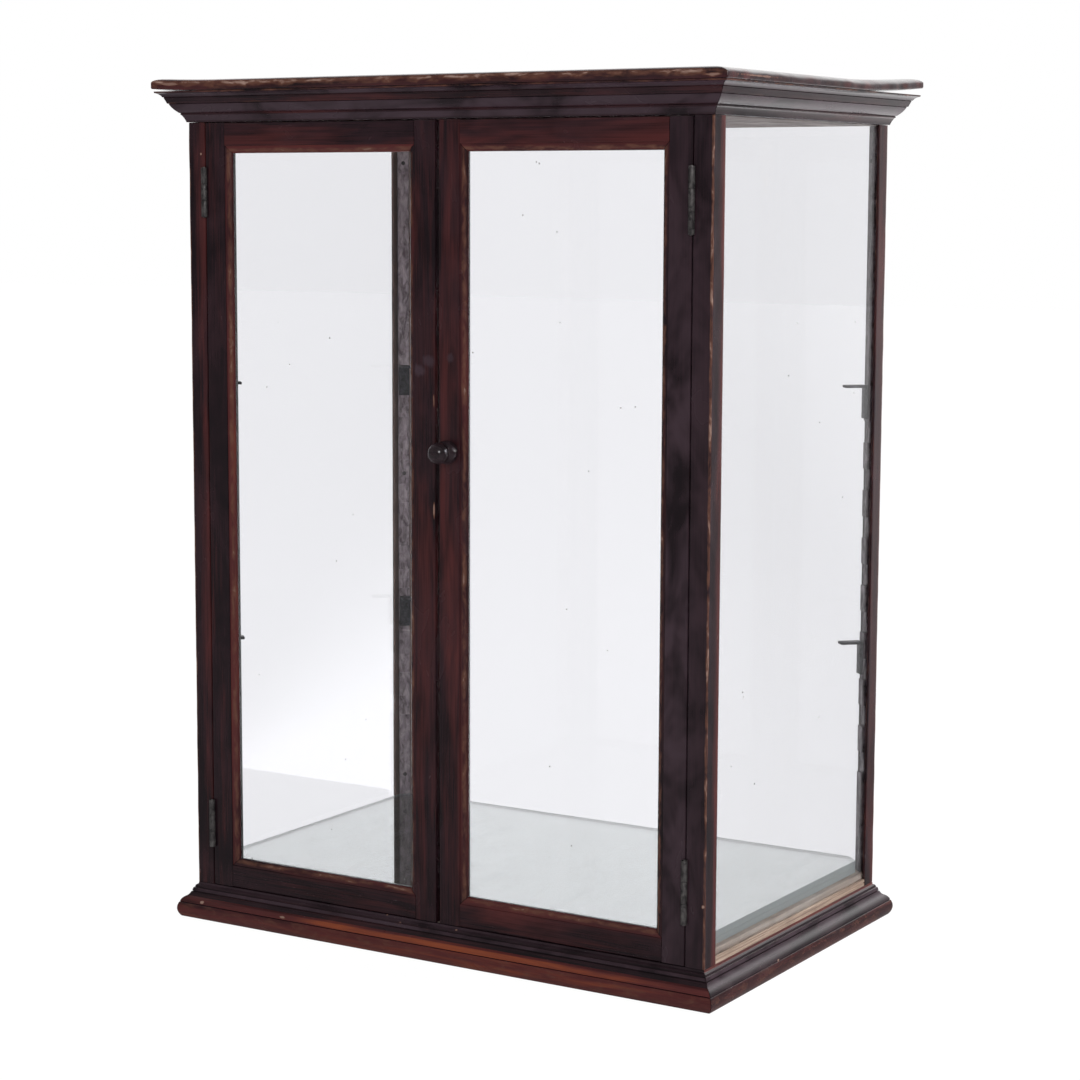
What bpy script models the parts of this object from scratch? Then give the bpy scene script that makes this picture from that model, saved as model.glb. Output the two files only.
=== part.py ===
# Countertop display cabinet: a glazed box of dark stained wood with two framed glass doors.
# Metres. X runs along the front, Y to the back, Z up from the counter; the origin is under the middle.

import math

import bmesh
import bpy
from mathutils import Matrix, Vector

# Gap left between pieces that touch
FIT = 0.0003

# Case: four corner posts between a moulded base and a cornice
CASE_WIDTH = 0.486
CASE_DEPTH = 0.306
BASE_HEIGHT = 0.029
POST_HEIGHT = 0.638
CORNICE_HEIGHT = 0.0245
BASE_PROJECTION = 0.011
CORNICE_PROJECTION = 0.0198
CORE_INSET = 0.004
FLOOR_RISE = 0.0108
CEILING_DROP = 0.0008
POST_WIDTH = 0.0165
POST_DEPTH = 0.0185
REAR_POST_DEPTH = 0.0165

# How far the curved members of the mouldings swell or sink between their edges
TORUS_SWELL = 0.002
OGEE_SWELL = 0.0007
OGEE_HOLLOW = 0.0003
SPLAY_HOLLOW = 0.0002
OVOLO_SWELL = 0.0005
COVE_HOLLOW = 0.0004

# Top board, sprung off the cornice at two corners
TOP_THICKNESS = 0.0085
TOP_OVERHANG = 0.0212
TOP_EDGE_ROUND = 0.002
TOP_FRONT_LIFT = 0.0016
TOP_FRONT_REACH = 0.06
TOP_REAR_LIFT = 0.0052
TOP_REAR_REACH = 0.12
TOP_WARP_POWER = 1.5
TOP_CELLS_X = 22
TOP_CELLS_Y = 14

# Panes of the sides and back, held behind a lip of the posts
PANE_THICKNESS = 0.003
PANE_INSET = 0.002

# Doors: stiles and rails with a moulded lip round the glass
DOOR_THICKNESS = 0.0145
DOOR_END_GAP = 0.0008
DOOR_STOP_GAP = 0.0005
MEETING_GAP = 0.0036
MEETING_X = 0.0015
STILE_FLAT = 0.0193
RAIL_FLAT = 0.0185
LIP_WIDTH = 0.006
LIP_DEPTH = 0.0042
LIP_QUIRK = 0.0008
LIP_EDGE = 0.001
BEAD_SETBACK = 0.002
BEAD_SPLAY = 0.0027
DOOR_GLASS = 0.003

# Butt hinges, the right pair longer than the left
RIGHT_HINGE_LENGTH = 0.05
LEFT_HINGE_LENGTH = 0.04
HINGE_TOP_INSET = 0.036
HINGE_BOTTOM_INSET = 0.0325
HINGE_PROUD = 0.0016
KNUCKLE_RADIUS = 0.0025
HINGE_PIN_RADIUS = 0.001
HINGE_PIN_END = 0.0006
LEAF_WIDTH = 0.0135
LEAF_THICKNESS = 0.0008
LEAF_SINK = 0.0005
LEAF_GAP = 0.0004

# Turn knob on the right door and its tongue behind the left door
KNOB_HEIGHT = 0.4095
KNOB_INSET = 0.0095
KNOB_REACH = 0.0233
KNOB_HEAD_RADIUS = 0.0085
KNOB_FOOT_RADIUS = 0.0094
KNOB_FOOT_CENTRE = 0.0035
KNOB_NECK_RADIUS = 0.004
SPINDLE_RADIUS = 0.003
TONGUE_BITE = 0.008
TONGUE_WIDTH = 0.009
TONGUE_THICKNESS = 0.003

# Bolt on the back of the left door
BOLT_RADIUS = 0.002
BOLT_TRAVEL = 0.009
BOLT_REST_GAP = 0.003
BOLT_INSET = 0.0105
BOLT_CASE_LENGTH = 0.034
BOLT_CASE_WALL = 0.0015
BOLT_CASE_DROP = 0.008
BOLT_PLATE_FLANGE = 0.0035
BOLT_PLATE_THICKNESS = 0.0012
BOLT_BALL_RADIUS = 0.0035
BOLT_SOCKET_DEPTH = 0.0075

# Shelf strips across the corners, notched on the face, and the clips hooked on them
STRIP_WIDTH = 0.01
STRIP_THICKNESS = 0.0035
NOTCH_COUNT = 8
NOTCH_TOP = 0.4144
NOTCH_PITCH = 0.04
NOTCH_LENGTH = 0.018
NOTCH_DEPTH = 0.0024
CLIP_LOW_HEIGHT = 0.2382
CLIP_HIGH_HEIGHT = 0.4537
CLIP_ARM = 0.017
CLIP_PLATE = 0.028
CLIP_WIDTH = 0.0095
CLIP_THICKNESS = 0.0022
CLIP_BEND = 0.0012
CLIP_DOOR_GAP = 0.006

# Two loose glass shelves stacked on the floor
SHELF_THICKNESS = 0.005
SHELF_SIDE_GAP = 0.005
SHELF_REAR_GAP = 0.003
SHELF_FRONT_GAP = 0.004
SHELF_CORNER_GAP = 0.0015

# Smoothness of round shapes
KNUCKLE_SIDES = 20
PIN_SIDES = 14
KNOB_SIDES = 24
BOLT_SIDES = 16

# Places that follow from the sizes
X_OUT = CASE_WIDTH / 2
Y_OUT = CASE_DEPTH / 2
POST_TOP = BASE_HEIGHT + POST_HEIGHT
CORNICE_TOP = POST_TOP + CORNICE_HEIGHT
FLOOR = BASE_HEIGHT + FLOOR_RISE
CEILING = POST_TOP - CEILING_DROP
POST_INSIDE = X_OUT - POST_WIDTH
PANE_X = X_OUT - PANE_INSET - PANE_THICKNESS
PANE_Y = Y_OUT - PANE_INSET - PANE_THICKNESS
LIP_INSIDE_X = X_OUT - PANE_INSET + FIT
LIP_INSIDE_Y = Y_OUT - PANE_INSET + FIT
LIP_END = Y_OUT - POST_DEPTH
REAR_LIP_END = Y_OUT - REAR_POST_DEPTH
ROOT2 = math.sqrt(2)
STRIP_SETBACK = STRIP_WIDTH / 2 + 2 * FIT
REAR_CORE = (STRIP_SETBACK - FIT) / ROOT2
LEAF_AXIS_OFFSET = LEAF_GAP / 2 + LEAF_THICKNESS
DOOR_SIDE_GAP = 2 * (LEAF_AXIS_OFFSET - LEAF_SINK)
HINGE_X = POST_INSIDE - DOOR_SIDE_GAP / 2
HINGE_Y = -Y_OUT - HINGE_PROUD
DOOR_EDGE = POST_INSIDE - DOOR_SIDE_GAP
DOOR_BOTTOM = BASE_HEIGHT + DOOR_END_GAP
DOOR_TOP = POST_TOP - DOOR_END_GAP
DOOR_HEIGHT = DOOR_TOP - DOOR_BOTTOM
DOOR_FRONT = -Y_OUT
DOOR_BACK = DOOR_FRONT + DOOR_THICKNESS
PANEL_FRONT = DOOR_BACK + DOOR_STOP_GAP
FRONT_POST_BACK = DOOR_BACK + CLIP_DOOR_GAP + CLIP_WIDTH / ROOT2 - (PANE_X - DOOR_EDGE)
LEFT_MEETING = MEETING_X - MEETING_GAP / 2
RIGHT_MEETING = MEETING_X + MEETING_GAP / 2
KNOB_X = RIGHT_MEETING + KNOB_INSET
TONGUE_REACH = KNOB_X - LEFT_MEETING + TONGUE_BITE
BOLT_X = LEFT_MEETING - BOLT_INSET
BOLT_BORE = BOLT_RADIUS + FIT
BOLT_Y = DOOR_BACK + FIT + BOLT_PLATE_THICKNESS + BOLT_BORE
BOLT_TOP = CEILING - BOLT_REST_GAP
BOLT_CASE_TOP = CEILING - BOLT_CASE_DROP
BOLT_CASE_BOTTOM = BOLT_CASE_TOP - BOLT_CASE_LENGTH
BOLT_BALL = BOLT_CASE_BOTTOM - BOLT_TRAVEL - 2 * FIT - BOLT_BALL_RADIUS

# Finishes: colour, roughness, metallic
FINISHES = {
    "stained_wood": ((0.035, 0.016, 0.015), 0.38, 0.0),
    "raw_wood": ((0.36, 0.25, 0.17), 0.75, 0.0),
    "glass": ((0.86, 0.92, 0.90), 0.02, 0.0),
    "tinned_strip": ((0.12, 0.10, 0.11), 0.5, 0.7),
    "clip_iron": ((0.08, 0.08, 0.08), 0.45, 0.9),
    "hinge_brass": ((0.16, 0.11, 0.06), 0.5, 0.9),
    "knob_black": ((0.012, 0.009, 0.009), 0.12, 0.0),
    "bolt_brass": ((0.42, 0.29, 0.11), 0.4, 0.9),
}


def clear_scene():
    for old in list(bpy.data.objects):
        bpy.data.objects.remove(old)


def make_finish(name):
    colour, roughness, metallic = FINISHES[name]
    finish = bpy.data.materials.new(name)
    finish.use_nodes = True
    shader = finish.node_tree.nodes["Principled BSDF"]
    shader.inputs["Base Color"].default_value = (*colour, 1.0)
    shader.inputs["Roughness"].default_value = roughness
    shader.inputs["Metallic"].default_value = metallic
    if name == "glass":
        shader.inputs["Transmission Weight"].default_value = 1.0
    return finish


def add_empty(name, place):
    empty = bpy.data.objects.new(name, None)
    empty.location = place
    bpy.context.scene.collection.objects.link(empty)
    return empty


def add_object(name, shape, finish, parent=None):
    bmesh.ops.recalc_face_normals(shape, faces=shape.faces)
    mesh = bpy.data.meshes.new(name)
    shape.to_mesh(mesh)
    shape.free()
    piece = bpy.data.objects.new(name, mesh)
    bpy.context.scene.collection.objects.link(piece)
    if finish:
        mesh.materials.append(finish)
    if parent:
        piece.parent = parent
        piece.matrix_parent_inverse = Matrix.Translation(parent.location).inverted()
    return piece


def add_tool(name, shape):
    tool = add_object(name, shape, None)
    tool.hide_render = True
    tool.display_type = "WIRE"
    return tool


def combine(piece, tool, operation):
    modifier = piece.modifiers.new(tool.name, "BOOLEAN")
    modifier.object = tool
    modifier.operation = operation
    modifier.solver = "EXACT"


def smooth_round(piece):
    piece.data.shade_smooth()
    piece.data.set_sharp_from_angle(angle=math.radians(40))


def axes_at(origin, across, along):
    """Frame whose first axis is across, second is along and third is square to both."""
    first = Vector(across).normalized()
    second = Vector(along).normalized()
    third = first.cross(second)
    turn = Matrix((first, second, third)).transposed().to_4x4()
    return Matrix.Translation(origin) @ turn


def arc(centre, radius, start, end, steps):
    points = []
    for i in range(steps + 1):
        angle = math.radians(start + (end - start) * i / steps)
        points.append((centre[0] + radius * math.cos(angle), centre[1] + radius * math.sin(angle)))
    return points


def bow(start, end, rise, steps):
    """Points after start up to end on a shallow curve that stands off its chord by rise, to the right."""
    chord = Vector(end) - Vector(start)
    side = Vector((chord.y, -chord.x)).normalized()
    points = []
    for i in range(1, steps + 1):
        share = i / steps
        point = Vector(start) + chord * share + side * rise * 4 * share * (1 - share)
        points.append((point.x, point.y))
    return points


def prism(outline, low, high, frame=Matrix.Identity(4)):
    """Outline in the frame's first two axes, drawn out along its third from low to high."""
    shape = bmesh.new()
    rings = []
    for level in (low, high):
        rings.append([shape.verts.new(frame @ Vector((u, v, level))) for u, v in outline])
    shape.faces.new(reversed(rings[0]))
    shape.faces.new(rings[1])
    count = len(outline)
    for i in range(count):
        j = (i + 1) % count
        shape.faces.new((rings[0][i], rings[0][j], rings[1][j], rings[1][i]))
    return shape


def box(low, high):
    outline = [(low[0], low[1]), (high[0], low[1]), (high[0], high[1]), (low[0], high[1])]
    return prism(outline, low[2], high[2])


def turned(profile, frame, sides):
    """Closed solid of revolution about the frame's third axis, from a (radius, height) profile."""
    shape = bmesh.new()
    poles = [shape.verts.new(frame @ Vector((0, 0, profile[i][1]))) for i in (0, -1)]
    rings = []
    for radius, height in profile:
        ring = []
        for x, y in arc((0, 0), radius, 0, 360, sides)[:-1]:
            ring.append(shape.verts.new(frame @ Vector((x, y, height))))
        rings.append(ring)
    for i in range(sides):
        j = (i + 1) % sides
        shape.faces.new((poles[0], rings[0][j], rings[0][i]))
        shape.faces.new((poles[1], rings[-1][i], rings[-1][j]))
        for lower, upper in zip(rings, rings[1:]):
            shape.faces.new((lower[i], lower[j], upper[j], upper[i]))
    return shape


def rod(radius, low, high, frame, sides):
    return turned([(radius, low), (radius, high)], frame, sides)


def mitred_moulding(profile, half_length, half_breadth, turn):
    """Moulding along one side of a rectangle, mitred at both ends; profile is (projection, height)."""
    shape = bmesh.new()
    spin = Matrix.Rotation(math.radians(turn), 4, "Z")
    rings = []
    for end in (-1, 1):
        ring = []
        for out, height in profile:
            along = end * (half_length + out - FIT)
            ring.append(shape.verts.new(spin @ Vector((along, -half_breadth - out, height))))
        rings.append(ring)
    shape.faces.new(rings[0])
    shape.faces.new(reversed(rings[1]))
    count = len(profile)
    for i in range(count):
        j = (i + 1) % count
        shape.faces.new((rings[0][i], rings[1][i], rings[1][j], rings[0][j]))
    return shape


def base_profile():
    """Torus, an ogee between two grooves, two small steps, and a plain rail flush with the posts."""

    def at(out, up):
        return (BASE_PROJECTION * out, BASE_HEIGHT * up)

    back = FIT - CORE_INSET
    points = [(back, 0.0), at(0.955, 0.0)]
    points += bow(points[-1], at(1.1, 0.417), TORUS_SWELL, 8)
    points += [at(1.0, 0.435), at(1.055, 0.448)]
    points += bow(points[-1], at(0.64, 0.607), OGEE_SWELL, 4)
    points += bow(points[-1], at(0.42, 0.72), -OGEE_HOLLOW, 3)
    points += [at(0.33, 0.728), at(0.33, 0.746), at(0.37, 0.756), at(0.3, 0.835)]
    points += [at(0.215, 0.845), at(0.175, 0.905), at(0.0, 0.945), at(0.0, 1.0)]
    points.append((back, BASE_HEIGHT))
    return points


def cornice_profile():
    """Splay, quirk, ovolo, a sloping fillet between grooves, and a shallow cove out to a thin lip."""

    def at(out, up):
        return (CORNICE_PROJECTION * out, POST_TOP + CORNICE_HEIGHT * up)

    back = FIT - CORE_INSET
    points = [(back, POST_TOP), at(0.061, 0.0), at(0.071, 0.033)]
    points += bow(points[-1], at(0.197, 0.229), -SPLAY_HOLLOW, 3)
    points += [at(0.227, 0.241), at(0.232, 0.282), at(0.217, 0.294), at(0.273, 0.306)]
    points += bow(points[-1], at(0.566, 0.584), OVOLO_SWELL, 4)
    points += [at(0.556, 0.6), at(0.616, 0.608), at(0.717, 0.792), at(0.702, 0.804), at(0.753, 0.816)]
    points += bow(points[-1], at(0.929, 0.935), -COVE_HOLLOW, 4)
    points += [at(0.99, 0.951), at(1.0, 1.0)]
    points.append((back, CORNICE_TOP))
    return points


def add_mouldings(wood):
    sides = (("front", 0), ("right", 90), ("back", 180), ("left", 270))
    for name, turn in sides:
        across = turn in (0, 180)
        half_length = X_OUT if across else Y_OUT
        half_breadth = Y_OUT if across else X_OUT
        for kind, profile in (("base_moulding", base_profile()), ("cornice", cornice_profile())):
            add_object(f"{kind}_{name}", mitred_moulding(profile, half_length, half_breadth, turn), wood)


def panel_outline():
    """Floor and ceiling panels: inside the panes, behind the doors, with the rear corners cut off."""
    side = PANE_X - FIT
    rear = PANE_Y - FIT
    cut = (STRIP_SETBACK + FIT) * ROOT2
    right = [(side, PANEL_FRONT), (side, rear - cut), (side - cut, rear)]
    left = [(-x, y) for x, y in reversed(right)]
    return right + left


def add_boards(wood):
    core = (X_OUT - CORE_INSET, Y_OUT - CORE_INSET)
    bottom = add_object("bottom_board", box((-core[0], -core[1], 0), (*core, BASE_HEIGHT)), wood)
    floor = add_tool("floor_panel_shape", prism(panel_outline(), BASE_HEIGHT / 2, FLOOR))
    combine(bottom, floor, "UNION")

    top = add_object("ceiling_board", box((-core[0], -core[1], POST_TOP), (*core, CORNICE_TOP - FIT)), wood)
    ceiling = add_tool("ceiling_panel_shape", prism(panel_outline(), CEILING, (POST_TOP + CORNICE_TOP) / 2))
    combine(top, ceiling, "UNION")
    frame = Matrix.Translation((BOLT_X, BOLT_Y, CEILING))
    socket = add_tool("bolt_socket_cutter", rod(BOLT_BORE, -FIT, BOLT_SOCKET_DEPTH, frame, BOLT_SIDES))
    combine(top, socket, "DIFFERENCE")


def top_lift(x, y):
    """How far the warped top board stands off the cornice at a point."""
    half = Vector((X_OUT + TOP_OVERHANG, Y_OUT + TOP_OVERHANG))
    lift = 0.0
    sprung = ((-half, TOP_FRONT_LIFT, TOP_FRONT_REACH), (half, TOP_REAR_LIFT, TOP_REAR_REACH))
    for corner, rise, reach in sprung:
        near = max(0.0, 1 - (Vector((x, y)) - corner).length / reach)
        lift += rise * near ** TOP_WARP_POWER
    return lift


def add_top_board(wood):
    half_x = X_OUT + TOP_OVERHANG
    half_y = Y_OUT + TOP_OVERHANG
    shape = bmesh.new()
    sheets = []
    for level in (CORNICE_TOP + FIT, CORNICE_TOP + FIT + TOP_THICKNESS):
        sheet = []
        for i in range(TOP_CELLS_X + 1):
            x = -half_x + 2 * half_x * i / TOP_CELLS_X
            row = []
            for j in range(TOP_CELLS_Y + 1):
                y = -half_y + 2 * half_y * j / TOP_CELLS_Y
                row.append(shape.verts.new((x, y, level + top_lift(x, y))))
            sheet.append(row)
        sheets.append(sheet)
    for sheet in sheets:
        for i in range(TOP_CELLS_X):
            for j in range(TOP_CELLS_Y):
                shape.faces.new((sheet[i][j], sheet[i + 1][j], sheet[i + 1][j + 1], sheet[i][j + 1]))
    rims = []
    for sheet in sheets:
        rim = [row[0] for row in sheet] + sheet[-1][1:]
        rim += [row[-1] for row in reversed(sheet[:-1])] + sheet[0][-2:0:-1]
        rims.append(rim)
    for i in range(len(rims[0])):
        j = (i + 1) % len(rims[0])
        shape.faces.new((rims[0][i], rims[0][j], rims[1][j], rims[1][i]))
    board = add_object("top_board", shape, wood)
    rounding = board.modifiers.new("worn_edge", "BEVEL")
    rounding.width = TOP_EDGE_ROUND
    rounding.segments = 2
    rounding.limit_method = "ANGLE"
    rounding.angle_limit = math.radians(60)


def front_post_outline():
    """Front right post: a square bar with a lip behind it that laps the side pane."""
    return [
        (POST_INSIDE, -Y_OUT),
        (X_OUT, -Y_OUT),
        (X_OUT, -LIP_END),
        (LIP_INSIDE_X, -LIP_END),
        (LIP_INSIDE_X, FRONT_POST_BACK),
        (POST_INSIDE, FRONT_POST_BACK),
    ]


def rear_post_outline():
    """Rear right post: a corner bar with two lips that lap the side pane and the back pane."""
    return [
        (X_OUT, Y_OUT),
        (POST_INSIDE, Y_OUT),
        (POST_INSIDE, LIP_INSIDE_Y),
        (PANE_X - REAR_CORE, LIP_INSIDE_Y),
        (PANE_X - REAR_CORE, PANE_Y - REAR_CORE),
        (LIP_INSIDE_X, PANE_Y - REAR_CORE),
        (LIP_INSIDE_X, REAR_LIP_END),
        (X_OUT, REAR_LIP_END),
    ]


def add_posts(wood):
    posts = {}
    for row, outline in (("front", front_post_outline()), ("rear", rear_post_outline())):
        for side, sign in (("left", -1), ("right", 1)):
            placed = [(sign * x, y) for x, y in outline]
            name = f"post_{row}_{side}"
            posts[name] = add_object(name, prism(placed, BASE_HEIGHT + FIT, POST_TOP - FIT), wood)
    return posts


def add_panes(glass):
    low = BASE_HEIGHT + FIT
    high = POST_TOP - FIT
    front = FRONT_POST_BACK + FIT
    rear = PANE_Y - REAR_CORE - FIT
    outer = PANE_X + PANE_THICKNESS
    add_object("side_pane_right", box((PANE_X, front, low), (outer, rear, high)), glass)
    add_object("side_pane_left", box((-outer, front, low), (-PANE_X, rear, high)), glass)
    half = PANE_X - REAR_CORE - FIT
    add_object("back_pane", box((-half, PANE_Y, low), (half, PANE_Y + PANE_THICKNESS, high)), glass)


def lip_points(flat):
    """Moulded lip of a door member from its quirk round to the glass, as (across, depth)."""
    start = (flat, LIP_QUIRK)
    end = (flat + LIP_WIDTH, LIP_DEPTH - LIP_EDGE)
    rise = (math.hypot(end[0] - start[0], end[1] - start[1])) / 6
    return bow(start, end, rise, 4) + [(flat + LIP_WIDTH, LIP_DEPTH)]


def door_member(flat, bar_ends, lip_ends, frame):
    """Stile or rail along the frame's third axis. The lip is mitred inwards from lip_ends."""
    shape = bmesh.new()

    def line(across, depth, ends):
        return [shape.verts.new(frame @ Vector((across, depth, end))) for end in ends]

    base_ends = (bar_ends[0], *lip_ends, bar_ends[1])
    outer_front = line(0, 0, bar_ends)
    inner_front = line(flat, 0, bar_ends)
    quirk = line(flat, LIP_QUIRK, base_ends)
    rebate = line(flat, LIP_DEPTH, base_ends)
    inner_back = line(flat, DOOR_THICKNESS, bar_ends)
    outer_back = line(0, DOOR_THICKNESS, bar_ends)
    lip = [quirk[1:3]]
    for across, depth in lip_points(flat):
        mitre = across - flat
        lip.append(line(across, depth, (lip_ends[0] + mitre, lip_ends[1] - mitre)))
    lip.append(rebate[1:3])

    shape.faces.new((*outer_front, *reversed(inner_front)))
    shape.faces.new((*inner_front, *reversed(quirk)))
    shape.faces.new((*rebate, *reversed(inner_back)))
    shape.faces.new((*inner_back, *reversed(outer_back)))
    shape.faces.new((*outer_back, *reversed(outer_front)))
    for i in (0, 2):
        shape.faces.new((quirk[i], quirk[i + 1], rebate[i + 1], rebate[i]))
    for near, far in zip(lip, lip[1:]):
        shape.faces.new((near[0], near[1], far[1], far[0]))
    for i in (0, 1):
        shape.faces.new([edge[i] for edge in lip])
    for i in (0, -1):
        shape.faces.new((outer_front[i], inner_front[i], quirk[i], rebate[i], inner_back[i], outer_back[i]))
    return shape


def ring_frame(outer, inner, splay, low, high):
    """Rectangular ring in X and Z, from low to high in Y. Its opening widens by the splay all round."""
    shape = bmesh.new()
    (x0, z0), (x1, z1) = inner
    widened = ((x0 - splay, z0 - splay), (x1 + splay, z1 + splay))
    loops = []
    for rectangle, y in ((outer, low), (outer, high), (inner, low), (widened, high)):
        (x0, z0), (x1, z1) = rectangle
        corners = ((x0, z0), (x1, z0), (x1, z1), (x0, z1))
        loops.append([shape.verts.new((x, y, z)) for x, z in corners])
    outer_low, outer_high, inner_low, inner_high = loops
    fronts = (outer_low, inner_low), (outer_high, inner_high)
    edges = (outer_low, outer_high), (inner_low, inner_high)
    for near, far in (*fronts, *edges):
        for i in range(4):
            j = (i + 1) % 4
            shape.faces.new((near[i], near[j], far[j], far[i]))
    return shape


def add_door(side, hinge_edge, meeting_edge, pivot, wood, glass):
    """One door between its hinge edge and its meeting edge, hung on the pivot."""
    inward = 1 if meeting_edge > hinge_edge else -1
    up = (0, 0, 1)
    members = {}
    stile_lip = (RAIL_FLAT, DOOR_HEIGHT - RAIL_FLAT)
    for name, edge, way in (("hinge_stile", hinge_edge, inward), ("meeting_stile", meeting_edge, -inward)):
        frame = axes_at((edge, DOOR_FRONT, DOOR_BOTTOM), (way, 0, 0), (0, 1, 0))
        if way < 0:
            ends = (-DOOR_HEIGHT, 0)
            lips = (-stile_lip[1], -stile_lip[0])
        else:
            ends = (0, DOOR_HEIGHT)
            lips = stile_lip
        shape = door_member(STILE_FLAT, ends, lips, frame)
        members[name] = add_object(f"{side}_door_{name}", shape, wood, pivot)

    left = min(hinge_edge, meeting_edge)
    width = abs(meeting_edge - hinge_edge)
    bar = (STILE_FLAT + FIT, width - STILE_FLAT - FIT)
    lips = (STILE_FLAT + 2 * FIT, width - STILE_FLAT - 2 * FIT)
    bottom = axes_at((left, DOOR_FRONT, DOOR_BOTTOM), up, (0, 1, 0))
    top = axes_at((left, DOOR_FRONT, DOOR_TOP), (0, 0, -1), (0, 1, 0))
    flipped_bar = (-bar[1], -bar[0])
    flipped_lips = (-lips[1], -lips[0])
    bottom_rail = door_member(RAIL_FLAT, flipped_bar, flipped_lips, bottom)
    add_object(f"{side}_door_bottom_rail", bottom_rail, wood, pivot)
    add_object(f"{side}_door_top_rail", door_member(RAIL_FLAT, bar, lips, top), wood, pivot)

    rim = STILE_FLAT + FIT
    outer = ((left + rim, DOOR_BOTTOM + RAIL_FLAT + FIT), (left + width - rim, DOOR_TOP - RAIL_FLAT - FIT))
    across = STILE_FLAT + LIP_WIDTH - BEAD_SETBACK
    upward = RAIL_FLAT + LIP_WIDTH - BEAD_SETBACK
    inner = ((left + across, DOOR_BOTTOM + upward), (left + width - across, DOOR_TOP - upward))
    pane_front = DOOR_FRONT + LIP_DEPTH + FIT
    pane_back = pane_front + DOOR_GLASS
    (x0, z0), (x1, z1) = outer
    add_object(f"{side}_door_pane", box((x0, pane_front, z0), (x1, pane_back, z1)), glass, pivot)
    bead = ring_frame(outer, inner, BEAD_SPLAY, pane_back + FIT, DOOR_BACK)
    add_object(f"{side}_door_glazing_bead", bead, wood, pivot)
    return members


def leaf_outline(sign):
    """Hinge leaf in plan about its axis, wrapped round the pin; sign is the side its plate lies on."""
    inner = LEAF_GAP / 2
    start = math.degrees(math.acos(inner / KNUCKLE_RADIUS))
    end = math.degrees(math.acos(LEAF_AXIS_OFFSET / KNUCKLE_RADIUS)) + 360
    points = [(inner, LEAF_WIDTH)] + arc((0, 0), KNUCKLE_RADIUS, start, end, KNUCKLE_SIDES)
    points.append((LEAF_AXIS_OFFSET, LEAF_WIDTH))
    return [(sign * x, y) for x, y in points]


def mortise_outline():
    """Room cut in post and door for both leaves and the knuckle, in plan about the axis."""
    half = LEAF_AXIS_OFFSET + FIT
    radius = KNUCKLE_RADIUS + FIT
    start = math.degrees(math.acos(half / radius))
    points = [(half, LEAF_WIDTH + FIT), (-half, LEAF_WIDTH + FIT)]
    return points + arc((0, 0), radius, 180 - start, 360 + start, KNUCKLE_SIDES)


def add_hinge(label, sign, low, length, post, stile, pivot, brass):
    """Butt hinge from low upwards: a leaf let into the post, a leaf let into the door, and the pin."""
    frame = Matrix.Translation((sign * HINGE_X, HINGE_Y, low))
    third = length / 3
    mortise = add_tool(f"{label}_mortise_cutter", prism(mortise_outline(), -FIT, length + FIT, frame))
    combine(post, mortise, "DIFFERENCE")
    combine(stile, mortise, "DIFFERENCE")

    bore_radius = HINGE_PIN_RADIUS + FIT
    bore = add_tool(f"{label}_bore_cutter", rod(bore_radius, -third, length + third, frame, PIN_SIDES))
    clear = KNUCKLE_RADIUS + FIT
    middle_gap = add_tool(
        f"{label}_middle_gap_cutter", rod(clear, third - FIT, 2 * third + FIT, frame, KNUCKLE_SIDES)
    )
    low_gap = add_tool(f"{label}_low_gap_cutter", rod(clear, -third, third, frame, KNUCKLE_SIDES))
    high_gap = add_tool(
        f"{label}_high_gap_cutter", rod(clear, 2 * third, length + third, frame, KNUCKLE_SIDES)
    )

    post_leaf = add_object(f"{label}_post_leaf", prism(leaf_outline(sign), 0, length, frame), brass)
    door_leaf = add_object(f"{label}_door_leaf", prism(leaf_outline(-sign), 0, length, frame), brass, pivot)
    for leaf, gaps in ((post_leaf, (middle_gap,)), (door_leaf, (low_gap, high_gap))):
        for gap in gaps:
            combine(leaf, gap, "DIFFERENCE")
        combine(leaf, bore, "DIFFERENCE")
        smooth_round(leaf)
    pin = rod(HINGE_PIN_RADIUS, -HINGE_PIN_END, length + HINGE_PIN_END, frame, PIN_SIDES)
    smooth_round(add_object(f"{label}_pin", pin, brass))


def knob_profile():
    """Turned knob with its spindle: (radius, distance in front of the door), from the tail to the head."""
    head_centre = KNOB_REACH - KNOB_HEAD_RADIUS
    spread = head_centre - KNOB_FOOT_CENTRE
    crossing = (spread ** 2 + KNOB_FOOT_RADIUS ** 2 - KNOB_HEAD_RADIUS ** 2) / (2 * spread)
    waist = math.sqrt(max(KNOB_NECK_RADIUS ** 2, KNOB_FOOT_RADIUS ** 2 - crossing ** 2)) + FIT / 3
    foot_face = KNOB_FOOT_CENTRE - FIT
    foot_start = math.degrees(math.acos(foot_face / KNOB_FOOT_RADIUS))
    foot_end = math.degrees(math.asin(waist / KNOB_FOOT_RADIUS))
    head_start = math.degrees(math.asin(waist / KNOB_HEAD_RADIUS))
    points = [(SPINDLE_RADIUS, -DOOR_THICKNESS - FIT), (SPINDLE_RADIUS, FIT)]
    for along, out in arc((KNOB_FOOT_CENTRE, 0), KNOB_FOOT_RADIUS, 180 - foot_start, foot_end, 7):
        points.append((out, along))
    for along, out in arc((head_centre, 0), KNOB_HEAD_RADIUS, 180 - head_start, 8, 9):
        points.append((out, along))
    return points


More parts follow.
